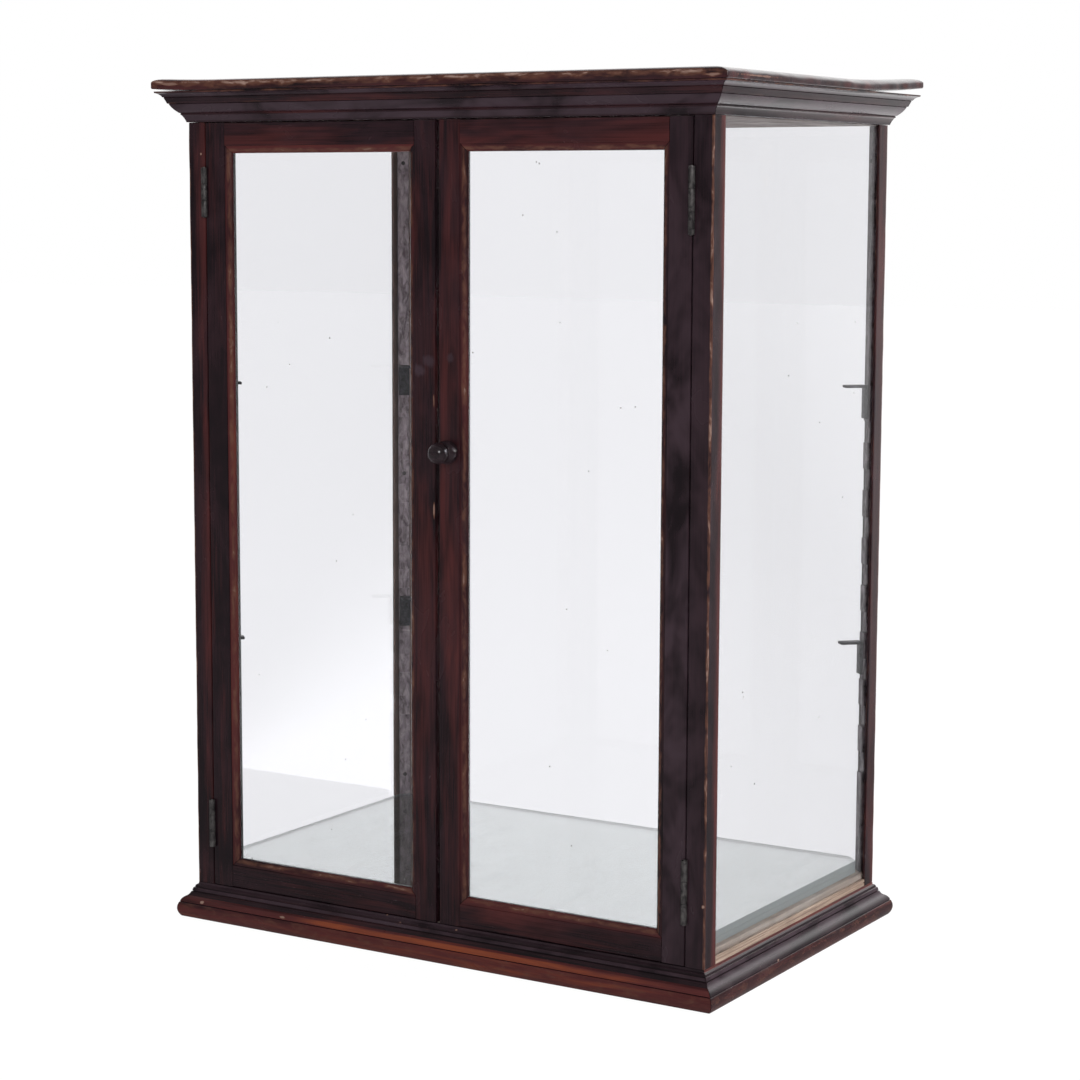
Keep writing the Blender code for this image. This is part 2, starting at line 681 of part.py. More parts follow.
def add_knob(stile, pivot, black, iron):
    place = Vector((KNOB_X, DOOR_FRONT, KNOB_HEIGHT))
    frame = axes_at(place, (1, 0, 0), (0, 0, 1))
    hole = add_tool(
        "spindle_hole_cutter",
        rod(SPINDLE_RADIUS + FIT, -DOOR_THICKNESS - TONGUE_THICKNESS, TONGUE_THICKNESS, frame, BOLT_SIDES),
    )
    combine(stile, hole, "DIFFERENCE")
    smooth_round(add_object("turn_knob", turned(knob_profile(), frame, KNOB_SIDES), black, pivot))

    half = TONGUE_WIDTH / 2
    tip = -TONGUE_REACH + half
    outline = arc((0, 0), half, 0, 180, 8) + arc((0, tip), half, 180, 360, 8)
    behind = -DOOR_THICKNESS - 2 * FIT
    tongue = prism(outline, behind - TONGUE_THICKNESS, behind, frame)
    smooth_round(add_object("turn_tongue", tongue, iron, pivot))


def add_bolt(pivot, bolt_pivot, brass):
    """Barrel bolt near the top of the left door: a flanged case on the stile and a rod that slides up."""
    half = BOLT_BORE + BOLT_CASE_WALL
    plate = half + BOLT_PLATE_FLANGE
    seat = DOOR_BACK + FIT
    shoulder = seat + BOLT_PLATE_THICKNESS
    back = BOLT_Y + half
    flange, wall = BOLT_X + plate, BOLT_X + half
    right = [(flange, seat), (flange, shoulder), (wall, shoulder), (wall, back)]
    left = [(2 * BOLT_X - x, y) for x, y in reversed(right)]
    case = add_object("bolt_case", prism(right + left, BOLT_CASE_BOTTOM, BOLT_CASE_TOP), brass, pivot)
    frame = Matrix.Translation((BOLT_X, BOLT_Y, 0))
    reach = (BOLT_CASE_BOTTOM - BOLT_TRAVEL, BOLT_CASE_TOP + BOLT_TRAVEL)
    combine(case, add_tool("bolt_bore_cutter", rod(BOLT_BORE, *reach, frame, BOLT_SIDES)), "DIFFERENCE")

    neck = math.degrees(math.asin(BOLT_RADIUS / BOLT_BALL_RADIUS))
    profile = []
    for along, out in arc((BOLT_BALL, 0), BOLT_BALL_RADIUS, 170, neck, 7):
        profile.append((out, along))
    profile.append((BOLT_RADIUS, BOLT_TOP))
    smooth_round(add_object("bolt_rod", turned(profile, frame, BOLT_SIDES), brass, bolt_pivot))


def strip_profile(length):
    """Strip in side view, as (out from the post, up from its foot), with square notches in its inner face."""
    bed = STRIP_THICKNESS - NOTCH_DEPTH
    lowest = NOTCH_TOP - (NOTCH_COUNT - 1) * NOTCH_PITCH - FLOOR - FIT
    points = [(0.0, 0.0), (STRIP_THICKNESS, 0.0)]
    for i in range(NOTCH_COUNT):
        low = lowest + i * NOTCH_PITCH - NOTCH_LENGTH / 2
        high = low + NOTCH_LENGTH
        points += [(STRIP_THICKNESS, low), (bed, low), (bed, high), (STRIP_THICKNESS, high)]
    return points + [(STRIP_THICKNESS, length), (0.0, length)]


def clip_outline():
    """Bent clip in side view, as (out from the strip, up): a plate that hangs down and an arm on top."""
    outer = arc((CLIP_BEND, -CLIP_BEND), CLIP_BEND, 180, 90, 3)
    inner = (CLIP_THICKNESS, -CLIP_THICKNESS)
    reach = CLIP_THICKNESS + CLIP_ARM
    foot = (CLIP_THICKNESS, -CLIP_PLATE)
    return [(0, -CLIP_PLATE), *outer, (reach, 0), (reach, -CLIP_THICKNESS), inner, foot]


def add_shelf_fittings(tin, iron):
    length = CEILING - FLOOR - 2 * FIT
    for row, wall in (("front", FRONT_POST_BACK), ("rear", PANE_Y)):
        for side, sign in (("left", -1), ("right", 1)):
            depth = 1 if row == "front" else -1
            inward = Vector((-sign, depth, 0)).normalized()
            corner = Vector((sign * PANE_X, wall, FLOOR + FIT))
            back = corner + inward * STRIP_SETBACK
            frame = axes_at(back, inward, (0, 0, 1))
            strip = prism(strip_profile(length), -STRIP_WIDTH / 2, STRIP_WIDTH / 2, frame)
            add_object(f"shelf_strip_{row}_{side}", strip, tin)
            for level, height in (("lower", CLIP_LOW_HEIGHT), ("upper", CLIP_HIGH_HEIGHT)):
                seat = back + inward * (STRIP_THICKNESS + FIT)
                seat.z = height
                hook = axes_at(seat, inward, (0, 0, 1))
                shape = prism(clip_outline(), -CLIP_WIDTH / 2, CLIP_WIDTH / 2, hook)
                add_object(f"shelf_clip_{level}_{row}_{side}", shape, iron)


def add_shelves(glass):
    side = PANE_X - SHELF_SIDE_GAP
    rear = PANE_Y - SHELF_REAR_GAP
    front = PANEL_FRONT + SHELF_FRONT_GAP
    clip_face = STRIP_SETBACK + STRIP_THICKNESS + FIT + CLIP_THICKNESS
    cut = (clip_face + SHELF_CORNER_GAP) * ROOT2 - SHELF_SIDE_GAP - SHELF_REAR_GAP
    right = [(side - cut, front), (side, front + cut), (side, rear - cut), (side - cut, rear)]
    outline = right + [(-x, y) for x, y in reversed(right)]
    low = FLOOR + FIT
    for name in ("glass_shelf_lower", "glass_shelf_upper"):
        add_object(name, prism(outline, low, low + SHELF_THICKNESS), glass)
        low += SHELF_THICKNESS + FIT


def build():
    clear_scene()
    finish = {name: make_finish(name) for name in FINISHES}
    wood = finish["stained_wood"]
    add_boards(finish["raw_wood"])
    add_mouldings(wood)
    add_top_board(wood)
    posts = add_posts(wood)
    add_panes(finish["glass"])

    for side, sign, meeting, length in (
        ("left", -1, LEFT_MEETING, LEFT_HINGE_LENGTH),
        ("right", 1, RIGHT_MEETING, RIGHT_HINGE_LENGTH),
    ):
        pivot = add_empty(f"{side}_door_axis", (sign * HINGE_X, HINGE_Y, 0))
        members = add_door(side, sign * DOOR_EDGE, meeting, pivot, wood, finish["glass"])
        post = posts[f"post_front_{side}"]
        stile = members["hinge_stile"]
        places = {"lower": DOOR_BOTTOM + HINGE_BOTTOM_INSET, "upper": DOOR_TOP - HINGE_TOP_INSET - length}
        for level, low in places.items():
            add_hinge(f"{side}_{level}_hinge", sign, low, length, post, stile, pivot, finish["hinge_brass"])
        if side == "right":
            knob_pivot = add_empty("knob_axis", (KNOB_X, DOOR_FRONT, KNOB_HEIGHT))
            add_knob(members["meeting_stile"], knob_pivot, finish["knob_black"], finish["clip_iron"])
        else:
            bolt_pivot = add_empty("bolt_axis", (BOLT_X, BOLT_Y, BOLT_TOP))
            add_bolt(pivot, bolt_pivot, finish["bolt_brass"])

    add_shelf_fittings(finish["tinned_strip"], finish["clip_iron"])
    add_shelves(finish["glass"])


build()
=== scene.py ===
import math

import bmesh
import bpy
from mathutils import Matrix, Vector, noise


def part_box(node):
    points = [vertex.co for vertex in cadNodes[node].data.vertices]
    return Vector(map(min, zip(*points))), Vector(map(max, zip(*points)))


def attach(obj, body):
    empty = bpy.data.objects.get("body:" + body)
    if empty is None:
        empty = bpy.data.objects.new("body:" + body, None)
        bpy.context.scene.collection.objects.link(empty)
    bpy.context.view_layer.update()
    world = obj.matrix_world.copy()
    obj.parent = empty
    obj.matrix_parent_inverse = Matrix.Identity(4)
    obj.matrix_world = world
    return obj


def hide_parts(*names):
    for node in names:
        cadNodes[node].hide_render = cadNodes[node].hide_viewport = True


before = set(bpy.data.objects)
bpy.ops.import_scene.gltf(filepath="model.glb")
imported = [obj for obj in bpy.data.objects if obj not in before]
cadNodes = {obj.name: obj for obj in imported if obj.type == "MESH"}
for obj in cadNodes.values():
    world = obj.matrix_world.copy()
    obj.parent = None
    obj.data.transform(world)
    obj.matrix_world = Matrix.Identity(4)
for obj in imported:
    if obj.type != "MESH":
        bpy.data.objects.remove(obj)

scene = bpy.context.scene
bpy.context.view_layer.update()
mm = 0.001
print("frame loaded:", len(cadNodes), "nodes")


def linearColour(code):
    channels = [int(code[i:i + 2], 16) / 255 for i in (1, 3, 5)]
    linear = [c / 12.92 if c <= 0.04045 else ((c + 0.055) / 1.055) ** 2.4 for c in channels]
    return (*linear, 1.0)


def addNode(tree, kind, inputs=None, **settings):
    node = tree.nodes.new(kind)
    for key, value in settings.items():
        setattr(node, key, value)
    for key, value in (inputs or {}).items():
        if isinstance(value, bpy.types.NodeSocket):
            tree.links.new(value, node.inputs[key])
        else:
            node.inputs[key].default_value = value
    return node


def newMaterial(name):
    material = bpy.data.materials.new(name)
    material.use_nodes = True
    tree = material.node_tree
    tree.nodes.clear()
    return material, tree, addNode(tree, "ShaderNodeTexCoord").outputs["Object"]


def mapped(tree, place, scale, location=(0, 0, 0), kind="POINT"):
    return addNode(tree, "ShaderNodeMapping", {
        "Vector": place, "Location": location, "Scale": scale,
    }, vector_type=kind).outputs["Vector"]


def clouds(tree, place, scale=1.0, detail=3.0, roughness=0.5, distortion=0.0):
    return addNode(tree, "ShaderNodeTexNoise", {
        "Vector": place, "Scale": scale, "Detail": detail, "Roughness": roughness, "Distortion": distortion,
    }).outputs["Fac"]


def ranged(tree, value, span, ends=(0.0, 1.0), curve="LINEAR"):
    return addNode(tree, "ShaderNodeMapRange", {
        "Value": value, "From Min": span[0], "From Max": span[1], "To Min": ends[0], "To Max": ends[1],
    }, interpolation_type=curve).outputs["Result"]


def maths(tree, operation, *values):
    return addNode(tree, "ShaderNodeMath", dict(enumerate(values)), operation=operation).outputs[0]


def vectorMaths(tree, operation, *values, output="Vector"):
    return addNode(tree, "ShaderNodeVectorMath", dict(enumerate(values)), operation=operation).outputs[output]


def mixed(tree, share, under, over, kind="RGBA"):
    under, over = (linearColour(c) if isinstance(c, str) else c for c in (under, over))
    inputs = {"Factor": share, "A": under, "B": over}
    return addNode(tree, "ShaderNodeMix", inputs, data_type=kind).outputs["Result"]


def toned(tree, value, stops, *tones):
    node = addNode(tree, "ShaderNodeValToRGB", {"Fac": value})
    elements = node.color_ramp.elements
    while len(elements) < len(stops):
        elements.new(0.5)
    for element, place, tone in zip(elements, stops, tones):
        element.position = place
        element.color = linearColour(tone)
    return node.outputs["Color"]


def bumped(tree, height, strength, distance):
    inputs = {"Height": height, "Strength": strength, "Distance": distance}
    return addNode(tree, "ShaderNodeBump", inputs).outputs["Normal"]


def surfaced(tree, inputs):
    shader = addNode(tree, "ShaderNodeBsdfPrincipled", inputs)
    addNode(tree, "ShaderNodeOutputMaterial", {"Surface": shader.outputs[0]})


# Stained mahogany: near-black polish with soft red-brown zones, worn to bare tan wood on the arrises
# A pattern is its size across and along the grain and its detail; a span is where a tone gives way
stainedMahogany = {
    "polish": "#130a0f",
    "thinPolish": "#2d1a20",
    "slate": "#44353d",
    "redBrown": "#5b2a29",
    "rubbedOrange": "#93492c",
    "edgeRed": "#6b4638",
    "bareWood": "#ab8d80",
    "grain": (1.5 * mm, 70 * mm, 4.0),
    "patch": (16 * mm, 150 * mm, 3.0),
    "cloud": (38 * mm, 76 * mm, 3.0),
    "chip": (5 * mm, 15 * mm, 6.0),
    "grainTone": 0.35,
    "cloudTone": 0.65,
    "thinSpan": (0.36, 0.64),
    "grainThins": 0.25,
    "rubThins": 0.50,
    "redSpan": (0.66, 1.22),
    "orangeSpan": (1.12, 1.45),
    "dulledSpan": (0.0, -1.0),
    "cloudSpan": (0.30, 0.62),
    "edgeSpan": (0.28, 0.56),
    "edgeShare": 0.85,
    "bareSpan": (0.50, 0.68),
    "markRagged": 1.6,
    "markSpan": (1.1, 0.4),
    "glossSpan": (0.3, 0.7),
    "roughness": (0.17, 0.30),
    "bareRoughness": 0.65,
    "bumpStrength": 0.3,
    "bumpDepth": 0.05 * mm,
    "specular": 0.35,
}
# Glazing bead wood: near-black and barely glossy, a painted shade for the shadowed rebate beside the glass
beadWoodPaintedShade = dict(
    stainedMahogany, polish="#0b0709", thinPolish="#140d10", slate="#140d10", redBrown="#1c1010",
    specular=0.06,
)
# Marks by the way the grain runs: place and reach in millimetres, and how worn; below nothing is dulled
woodMarks = {
    "x": (
        ((-230.9, -162.5, 14.9), (3.2, 6, 1.6), 0.62),
        ((-146.4, -162.5, 14.5), (5.0, 6, 1.6), 0.60),
        ((-48, -153.5, 28.8), (1.4, 3, 0.8), 0.58),
        ((-33.5, -153.5, 25.3), (1.6, 3, 0.8), 0.58),
        ((20, -153.5, 26.8), (1.4, 3, 0.7), 0.58),
        ((-246, -173, 697), (20, 6, 2.4), 0.57),
        ((9, -173, 697.5), (5, 6, 1.8), 0.60),
        ((252, -173, 694.5), (13, 6, 2.6), 0.58),
        ((263.5, -124, 695), (5, 46, 1.2), 0.56),
    ),
    "y": (
        ((254, -50, 13.0), (4.0, 2.6, 1.6), 0.70),
    ),
    "z": (
        ((241.5, -153, 78.2), (2.4, 3, 3.0), 0.62),
        ((-230.2, -153, 641.2), (1.4, 3, 1.4), 0.60),
        ((-15, -153, 472), (7, 4, 6), -0.7),
        ((-7, -153, 480), (7, 4, 6), -0.6),
        ((13.8, -153, 482.9), (4, 4, 4), -0.5),
        ((-1.4, -153, 449.5), (1.2, 3, 9), 0.54),
        ((-1.4, -153, 363), (1.4, 3, 10), 0.58),
    ),
}


def makeStainedMahogany(name, axis, look, marks=()):
    material, tree, place = newMaterial(name)

    def pattern(across, along, detail):
        scale = [1 / across] * 3
        scale["xyz".index(axis)] = 1 / along
        return clouds(tree, mapped(tree, place, scale), detail=detail, roughness=0.6, distortion=0.5)

    def smooth(value, span, top=1.0):
        return ranged(tree, value, span, (0.0, top), "SMOOTHSTEP")

    def attribute(key):
        return addNode(tree, "ShaderNodeAttribute", attribute_name=key).outputs["Fac"]

    grain, patch, cloud, chip = (pattern(*look[key]) for key in ("grain", "patch", "cloud", "chip"))
    wear, rub = attribute("wear"), attribute("rub")

    # the polish is thin in patches and where it is rubbed; the grain only tinges it
    tone = maths(tree, "MULTIPLY", cloud, look["cloudTone"])
    tone = maths(tree, "MULTIPLY_ADD", grain, look["grainTone"], tone)
    colour = mixed(tree, smooth(tone, look["thinSpan"]), look["polish"], look["thinPolish"])
    thin = maths(tree, "MULTIPLY_ADD", grain, look["grainThins"], patch)
    thin = maths(tree, "MULTIPLY_ADD", rub, look["rubThins"], thin)
    colour = mixed(tree, smooth(thin, look["redSpan"]), colour, look["redBrown"])
    colour = mixed(tree, smooth(thin, look["orangeSpan"]), colour, look["rubbedOrange"])
    # an arris goes red where it is rubbed and bare where the noise is high as well
    worn = maths(tree, "MULTIPLY", wear, chip)
    dulled = maths(tree, "MULTIPLY", smooth(rub, look["dulledSpan"]), smooth(cloud, look["cloudSpan"]))
    for spot, reach, strength in marks:
        local = mapped(tree, place, [c * mm for c in reach], [c * mm for c in spot], "TEXTURE")
        away = vectorMaths(tree, "LENGTH", local, output="Value")
        away = maths(tree, "ADD", away, look["markRagged"] / 2)
        away = maths(tree, "MULTIPLY_ADD", chip, -look["markRagged"], away)
        share = smooth(away, look["markSpan"], abs(strength))
        if strength > 0:
            worn = maths(tree, "MAXIMUM", worn, share)
        else:
            dulled = maths(tree, "MAXIMUM", dulled, share)
    colour = mixed(tree, dulled, colour, look["slate"])
    colour = mixed(tree, smooth(worn, look["edgeSpan"], look["edgeShare"]), colour, look["edgeRed"])
    bare = smooth(worn, look["bareSpan"])
    gloss = ranged(tree, cloud, look["glossSpan"], look["roughness"])
    surfaced(tree, {
        "Base Color": mixed(tree, bare, colour, look["bareWood"]),
        "Roughness": mixed(tree, bare, gloss, look["bareRoughness"], "FLOAT"),
        "Normal": bumped(tree, grain, look["bumpStrength"], look["bumpDepth"]),
        "IOR": 1.5, "Specular IOR Level": look["specular"],
    })
    return material


# Bare deal of the floor and ceiling boards: sawn, greyed and streaky
# Floor deal: its pale tones are partly the wood's own and partly painted light, standing in for the light
# that the glass keeps off the bottom board
bareDeal = {
    "pale": "#dfd4ca", "warm": "#c8b4a4", "grey": "#978478", "stops": (0.30, 0.48, 0.66),
    "grainAcross": 1.3 * mm, "grainAlong": 90 * mm, "faceScale": 0.2,
    "stain": 22 * mm, "stainSpan": (0.5, 0.75), "stainShare": 0.6,
    "roughness": 0.72, "bumpStrength": 0.4, "bumpDepth": 0.15 * mm,
}
# Ceiling deal: darker grey and broader stain patches, partly real stain and partly painted shade on the
# ceiling's underside
ceilingDeal = dict(bareDeal, pale="#d9cbc8", warm="#ab9892", grey="#4c3c3c", stain=40 * mm)
sillDeal = dict(bareDeal, pale="#c4ae9c", warm="#a58d7c", grey="#7d695c", stain=30 * mm)


def makeBareDeal(name, look):
    material, tree, place = newMaterial(name)
    across = 1 / look["grainAcross"]
    grain = mapped(tree, place, (across * look["faceScale"], 1 / look["grainAlong"], across))
    grain = clouds(tree, grain, detail=5.0, roughness=0.6, distortion=0.5)
    streaks = toned(tree, grain, look["stops"], look["grey"], look["warm"], look["pale"])
    # darker patches: stain, and on the ceiling partly painted shade
    stain = clouds(tree, place, 1 / look["stain"], detail=4.0, roughness=0.6)
    stainedAndShaded = ranged(tree, stain, look["stainSpan"], (0.0, look["stainShare"]))
    surfaced(tree, {
        "Base Color": mixed(tree, stainedAndShaded, streaks, look["grey"]),
        "Roughness": look["roughness"],
        "Normal": bumped(tree, grain, look["bumpStrength"], look["bumpDepth"]),
    })
    return material


# Old sheet glass: clear, faintly grey, with a few specks of dirt and a soft smear
sheetGlass = {
    "tint": "#fdfdff", "speck": "#8d8681", "speckSpacing": 38 * mm, "speckSize": 0.55 * mm,
    "speckRim": (1.6, 0.8), "speckShare": 0.75, "smear": 120 * mm, "smearSpan": (0.55, 0.8), "haze": 0.02,
    "ripple": 160 * mm, "rippleStrength": 0.08, "rippleDepth": 1.0 * mm,
}
shelfLow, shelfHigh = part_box("glass_shelf_lower")
shelfGlass = dict(
    sheetGlass, tint="#f2f6f5", speckSpacing=30 * mm,
    edge="#c3ccca", edgeClear=0.3, edgeRoughness=0.5, edgeStart=0.998,
    middle=(shelfLow + shelfHigh) / 2, half=(shelfHigh - shelfLow) / 2,
)


def makeGlass(name, look):
    material, tree, place = newMaterial(name)
    cells = addNode(tree, "ShaderNodeTexVoronoi", {
        "Vector": place, "Scale": 1 / look["speckSpacing"], "Randomness": 1.0,
    }).outputs["Distance"]
    limit = look["speckSize"] / look["speckSpacing"]
    specks = ranged(tree, cells, [limit * share for share in look["speckRim"]], (0.0, look["speckShare"]))
    smear = clouds(tree, place, 1 / look["smear"], detail=3.0, distortion=1.2)
    haze = ranged(tree, smear, look["smearSpan"], (0.0, look["haze"]))
    ripple = clouds(tree, place, 1 / look["ripple"], detail=1.0)
    colour = mixed(tree, specks, look["tint"], look["speck"])
    clear = maths(tree, "SUBTRACT", 1.0, specks)
    if "edge" in look:
        # the edges are ground: pale, rough and only partly clear
        away = vectorMaths(tree, "ABSOLUTE", mapped(tree, place, look["half"], look["middle"], "TEXTURE"))
        away = addNode(tree, "ShaderNodeSeparateXYZ", {"Vector": away})
        outer = maths(tree, "MAXIMUM", away.outputs["X"], away.outputs["Y"])
        ground = maths(tree, "GREATER_THAN", outer, look["edgeStart"])
        colour = mixed(tree, ground, colour, look["edge"])
        clear = mixed(tree, ground, clear, look["edgeClear"], "FLOAT")
        haze = mixed(tree, ground, haze, look["edgeRoughness"], "FLOAT")
    surfaced(tree, {
        "Base Color": colour, "Roughness": haze, "IOR": 1.5, "Transmission Weight": clear,
        "Normal": bumped(tree, ripple, look["rippleStrength"], look["rippleDepth"]),
    })
    return material


# Metals: a base metal under a patchy tarnish, dull where it is tarnished
tinnedSteel = {
    "bright": "#c2b4b9", "tarnish": "#66585e", "patch": 5 * mm, "stretch": 2.5, "span": (0.36, 0.64),
    "metallic": 0.35, "roughness": (0.6, 0.35), "bumpStrength": 0.5, "bumpDepth": 0.10 * mm,
}
# Right-hand strips: the same steel drawn darker, a painted shade
dulledSteel = dict(tinnedSteel, bright="#84777c", tarnish="#33292d")
blackIron = dict(
    tinnedSteel, bright="#55545a", tarnish="#2a282b", patch=4 * mm, stretch=1.0, span=(0.35, 0.7),
    metallic=0.3, roughness=(0.6, 0.4), bumpDepth=0.08 * mm,
)
agedBrass = dict(
    tinnedSteel, bright="#74706f", tarnish="#343132", stretch=1.5, span=(0.38, 0.66),
    metallic=0.6, bumpDepth=0.06 * mm,
)
boltBrass = dict(agedBrass, bright="#a98a50", tarnish="#5d4a2c")


def makeMetal(name, look):
    material, tree, place = newMaterial(name)
    size = 1 / look["patch"]
    patch = mapped(tree, place, (size, size, size / look["stretch"]))
    patch = clouds(tree, patch, detail=6.0, roughness=0.68, distortion=0.6)
    surfaced(tree, {
        "Base Color": toned(tree, patch, look["span"], look["tarnish"], look["bright"]),
        "Metallic": look["metallic"],
        "Roughness": ranged(tree, patch, look["span"], look["roughness"]),
        "Normal": bumped(tree, patch, look["bumpStrength"], look["bumpDepth"]),
    })
    return material


# Black-polished turned wood of the knob: glossy, with a rubbed brown tinge
blackPolish = {
    "black": "#21181c", "brown": "#36282d", "stops": (0.45, 0.72), "patch": 6 * mm,
    "glossSpan": (0.3, 0.7), "roughness": (0.13, 0.234),
}


def makeBlackPolish(name, look):
    material, tree, place = newMaterial(name)
    patch = clouds(tree, place, 1 / look["patch"], detail=5.0, roughness=0.6)
    surfaced(tree, {
        "Base Color": toned(tree, patch, look["stops"], look["black"], look["brown"]), "IOR": 1.5,
        "Roughness": ranged(tree, patch, look["glossSpan"], look["roughness"]),
    })
    return material


mahogany = {
    axis: makeStainedMahogany("stainedMahogany" + axis.upper(), axis, stainedMahogany, woodMarks[axis])
    for axis in "xyz"
}
darkBead = makeStainedMahogany("darkBead", "z", beadWoodPaintedShade)
# the bottom board's pale deal is partly painted light
deal = makeBareDeal("bareDeal", bareDeal)
# the ceiling board's deal carries painted shade in its darker patches
ceilingWoodShaded = makeBareDeal("ceilingDeal", ceilingDeal)
sillWood = makeBareDeal("sillDeal", sillDeal)
paneGlass = makeGlass("sheetGlass", sheetGlass)
plateGlass = makeGlass("shelfGlass", shelfGlass)
stripSteel = makeMetal("tinnedSteel", tinnedSteel)
rightStripShadedSteel = makeMetal("dulledSteel", dulledSteel)
clipIron = makeMetal("blackIron", blackIron)
hingeBrass = makeMetal("agedBrass", agedBrass)
brassBolt = makeMetal("boltBrass", boltBrass)
knobPolish = makeBlackPolish("blackPolish", blackPolish)
print("materials made")


def pieceName(node):
    first, *rest = node.split("_")
    return first + "".join(word.title() for word in rest)


def hang(name, data, body):
    piece = bpy.data.objects.new(name, data)
    scene.collection.objects.link(piece)
    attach(piece, body)
    return piece


weld = 0.001 * mm


def finishPiece(node, mesh, material, body, name=None, smoothAngle=40):
    name = name or pieceName(node)
    bmesh.ops.remove_doubles(mesh, verts=mesh.verts, dist=weld)
    bmesh.ops.recalc_face_normals(mesh, faces=mesh.faces)
    data = bpy.data.meshes.new(name)
    mesh.to_mesh(data)
    mesh.free()
    data.shade_smooth()
    data.set_sharp_from_angle(angle=math.radians(smoothAngle))
    data.materials.append(material)
    piece = hang(name, data, body)
    if node:
        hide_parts(node)


def corner(u, v, radius=0.0, wear=0.0, rub=0.0):
    return {"at": Vector((u, v)), "radius": radius, "wear": wear, "rub": rub}


def bow(start, end, rise, steps):
    chord = Vector(end) - Vector(start)
    side = Vector((chord.y, -chord.x)).normalized()
    return [Vector(start) + chord * (i / steps) + side * rise * 4 * (i / steps) * (1 - i / steps)
            for i in range(1, steps + 1)]


# How a length of wood is drawn out: station spacing, how much its arrises wander and how far they may round
drawnOut = {
    "station": 7 * mm, "wander": 0.55, "wanderLength": 16 * mm, "cornerDraw": 3.7, "seedDraw": 5.3,
    "fade": 1.3 * mm, "mostRound": 0.36, "mostFade": 0.45, "roundSteps": (0.33, 0.67),
}
# Least and most rub along a length, where it is most and how far that reaches
evenRub = (1.0, 1.0, 0.0, 1.0)


def wornOutline(corners, wobble):
    ring = []
    for i, c in enumerate(corners):
        if c["radius"] == 0:
            ring.append((c["at"], c["wear"], c["rub"]))
            continue
        back = corners[i - 1]["at"] - c["at"]
        ahead = corners[(i + 1) % len(corners)]["at"] - c["at"]
        limit = drawnOut["mostRound"]
        reach = min(c["radius"] * wobble(i), limit * back.length, limit * ahead.length)
        ends = []
        for side in (back, ahead):
            near = c["at"] + side.normalized() * reach
            faded = min(reach + drawnOut["fade"], drawnOut["mostFade"] * side.length)
            ends.append((near, c["at"] + side.normalized() * faded))
        (first, firstFade), (last, lastFade) = ends
        ring += [(firstFade, 0.0, c["rub"]), (first, c["wear"], c["rub"])]
        for share in drawnOut["roundSteps"]:
            low, high = first.lerp(c["at"], share), c["at"].lerp(last, share)
            ring.append((low.lerp(high, share), c["wear"], c["rub"]))
        ring += [(last, c["wear"], c["rub"]), (lastFade, 0.0, c["rub"])]
    return ring


def sweep(mesh, corners, start, end, place, seed, slopes=(0.0, 0.0), rubZone=evenRub):
    leastRub, mostRub, rubCentre, rubReach = rubZone
    floats = mesh.verts.layers.float
    wearLayer, rubLayer = (floats.get(key) or floats.new(key) for key in ("wear", "rub"))
    steps = max(2, round((end - start) / drawnOut["station"]))
    rings = []
    for step in range(steps + 1):
        share = step / steps
        middle = start + (end - start) * share
        along = middle / drawnOut["wanderLength"]
        rubbed = leastRub + (mostRub - leastRub) * math.exp(-((middle - rubCentre) / rubReach) ** 2)

        def wobble(i):
            draw = (along, i * drawnOut["cornerDraw"], seed * drawnOut["seedDraw"])
            return 1 + drawnOut["wander"] * noise.noise(draw)

        ring = []
        for point, wear, rub in wornOutline(corners, wobble):
            low = start + slopes[0] * point.x
            high = end + slopes[1] * point.x
            vert = mesh.verts.new(place @ Vector((point.x, point.y, low + (high - low) * share)))
            vert[wearLayer] = wear
            vert[rubLayer] = rub * rubbed
            ring.append(vert)
        rings.append(ring)
    count = len(rings[0])
    for near, far in zip(rings, rings[1:]):
        for i in range(count):
            j = (i + 1) % count
            mesh.faces.new((near[i], near[j], far[j], far[i]))
    mesh.faces.new(rings[0])
    mesh.faces.new(rings[-1])


def axesAt(origin, u, v, s):
    turn = Matrix((Vector(u), Vector(v), Vector(s))).transposed().to_4x4()
    return Matrix.Translation(origin) @ turn


gap = 0.3 * mm
lowRight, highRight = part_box("post_front_right")
halfWidth, halfDepth = highRight.x, -lowRight.y
postLow, postHigh = lowRight.z, highRight.z
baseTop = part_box("base_moulding_front")[1].z
corniceLow, corniceHigh = (p.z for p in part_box("cornice_front"))


# Base moulding: torus, ogee, two steps and a rail flush with the posts; cornice: splay to cove and lip
# Profile rows: out and up as shares, wear, rub as a zone or a number; a bowed run adds its rise and steps
baseMoulding = {
    "projection": 11.0 * mm, "back": -3.7 * mm, "arris": 0.5 * mm, "easedRows": (0, 13),
    "profile": (
        (0.955, 0.0, 0.7, "torus"), (1.1, 0.417, 0.64, "torus", 2.0 * mm, 12),
        (1.0, 0.435, 0.0, 0.0), (1.055, 0.448, 0.2, "low"),
        (0.64, 0.607, 0.35, ("low",) * 5 + ("high",) * 3, 0.7 * mm, 8),
        (0.42, 0.72, 0.1, "hollow", -0.3 * mm, 6),
        (0.33, 0.728, 0.0, 0.0), (0.33, 0.746, 0.0, 0.0), (0.37, 0.756, 0.4, -1.0), (0.3, 0.835, 0.55, -1.0),
        (0.215, 0.845, 0.0, 0.0), (0.175, 0.905, 0.5, -0.5),
        (0.0, 0.945, 0.0, "rail"), (0.0, 1.0, 0.4, "rail"),
    ),
    "rub": {
        "front": {"torus": 1.1, "low": 1.45, "high": 1.0, "hollow": 0.1, "rail": -0.6},
        "ends": {"torus": 0.6, "low": -0.3, "high": -0.9, "hollow": -0.9, "rail": 1.1},
        "back": {"torus": 0.5, "low": 0.4, "high": 0.2, "hollow": 0.1, "rail": 0.1},
    },
}
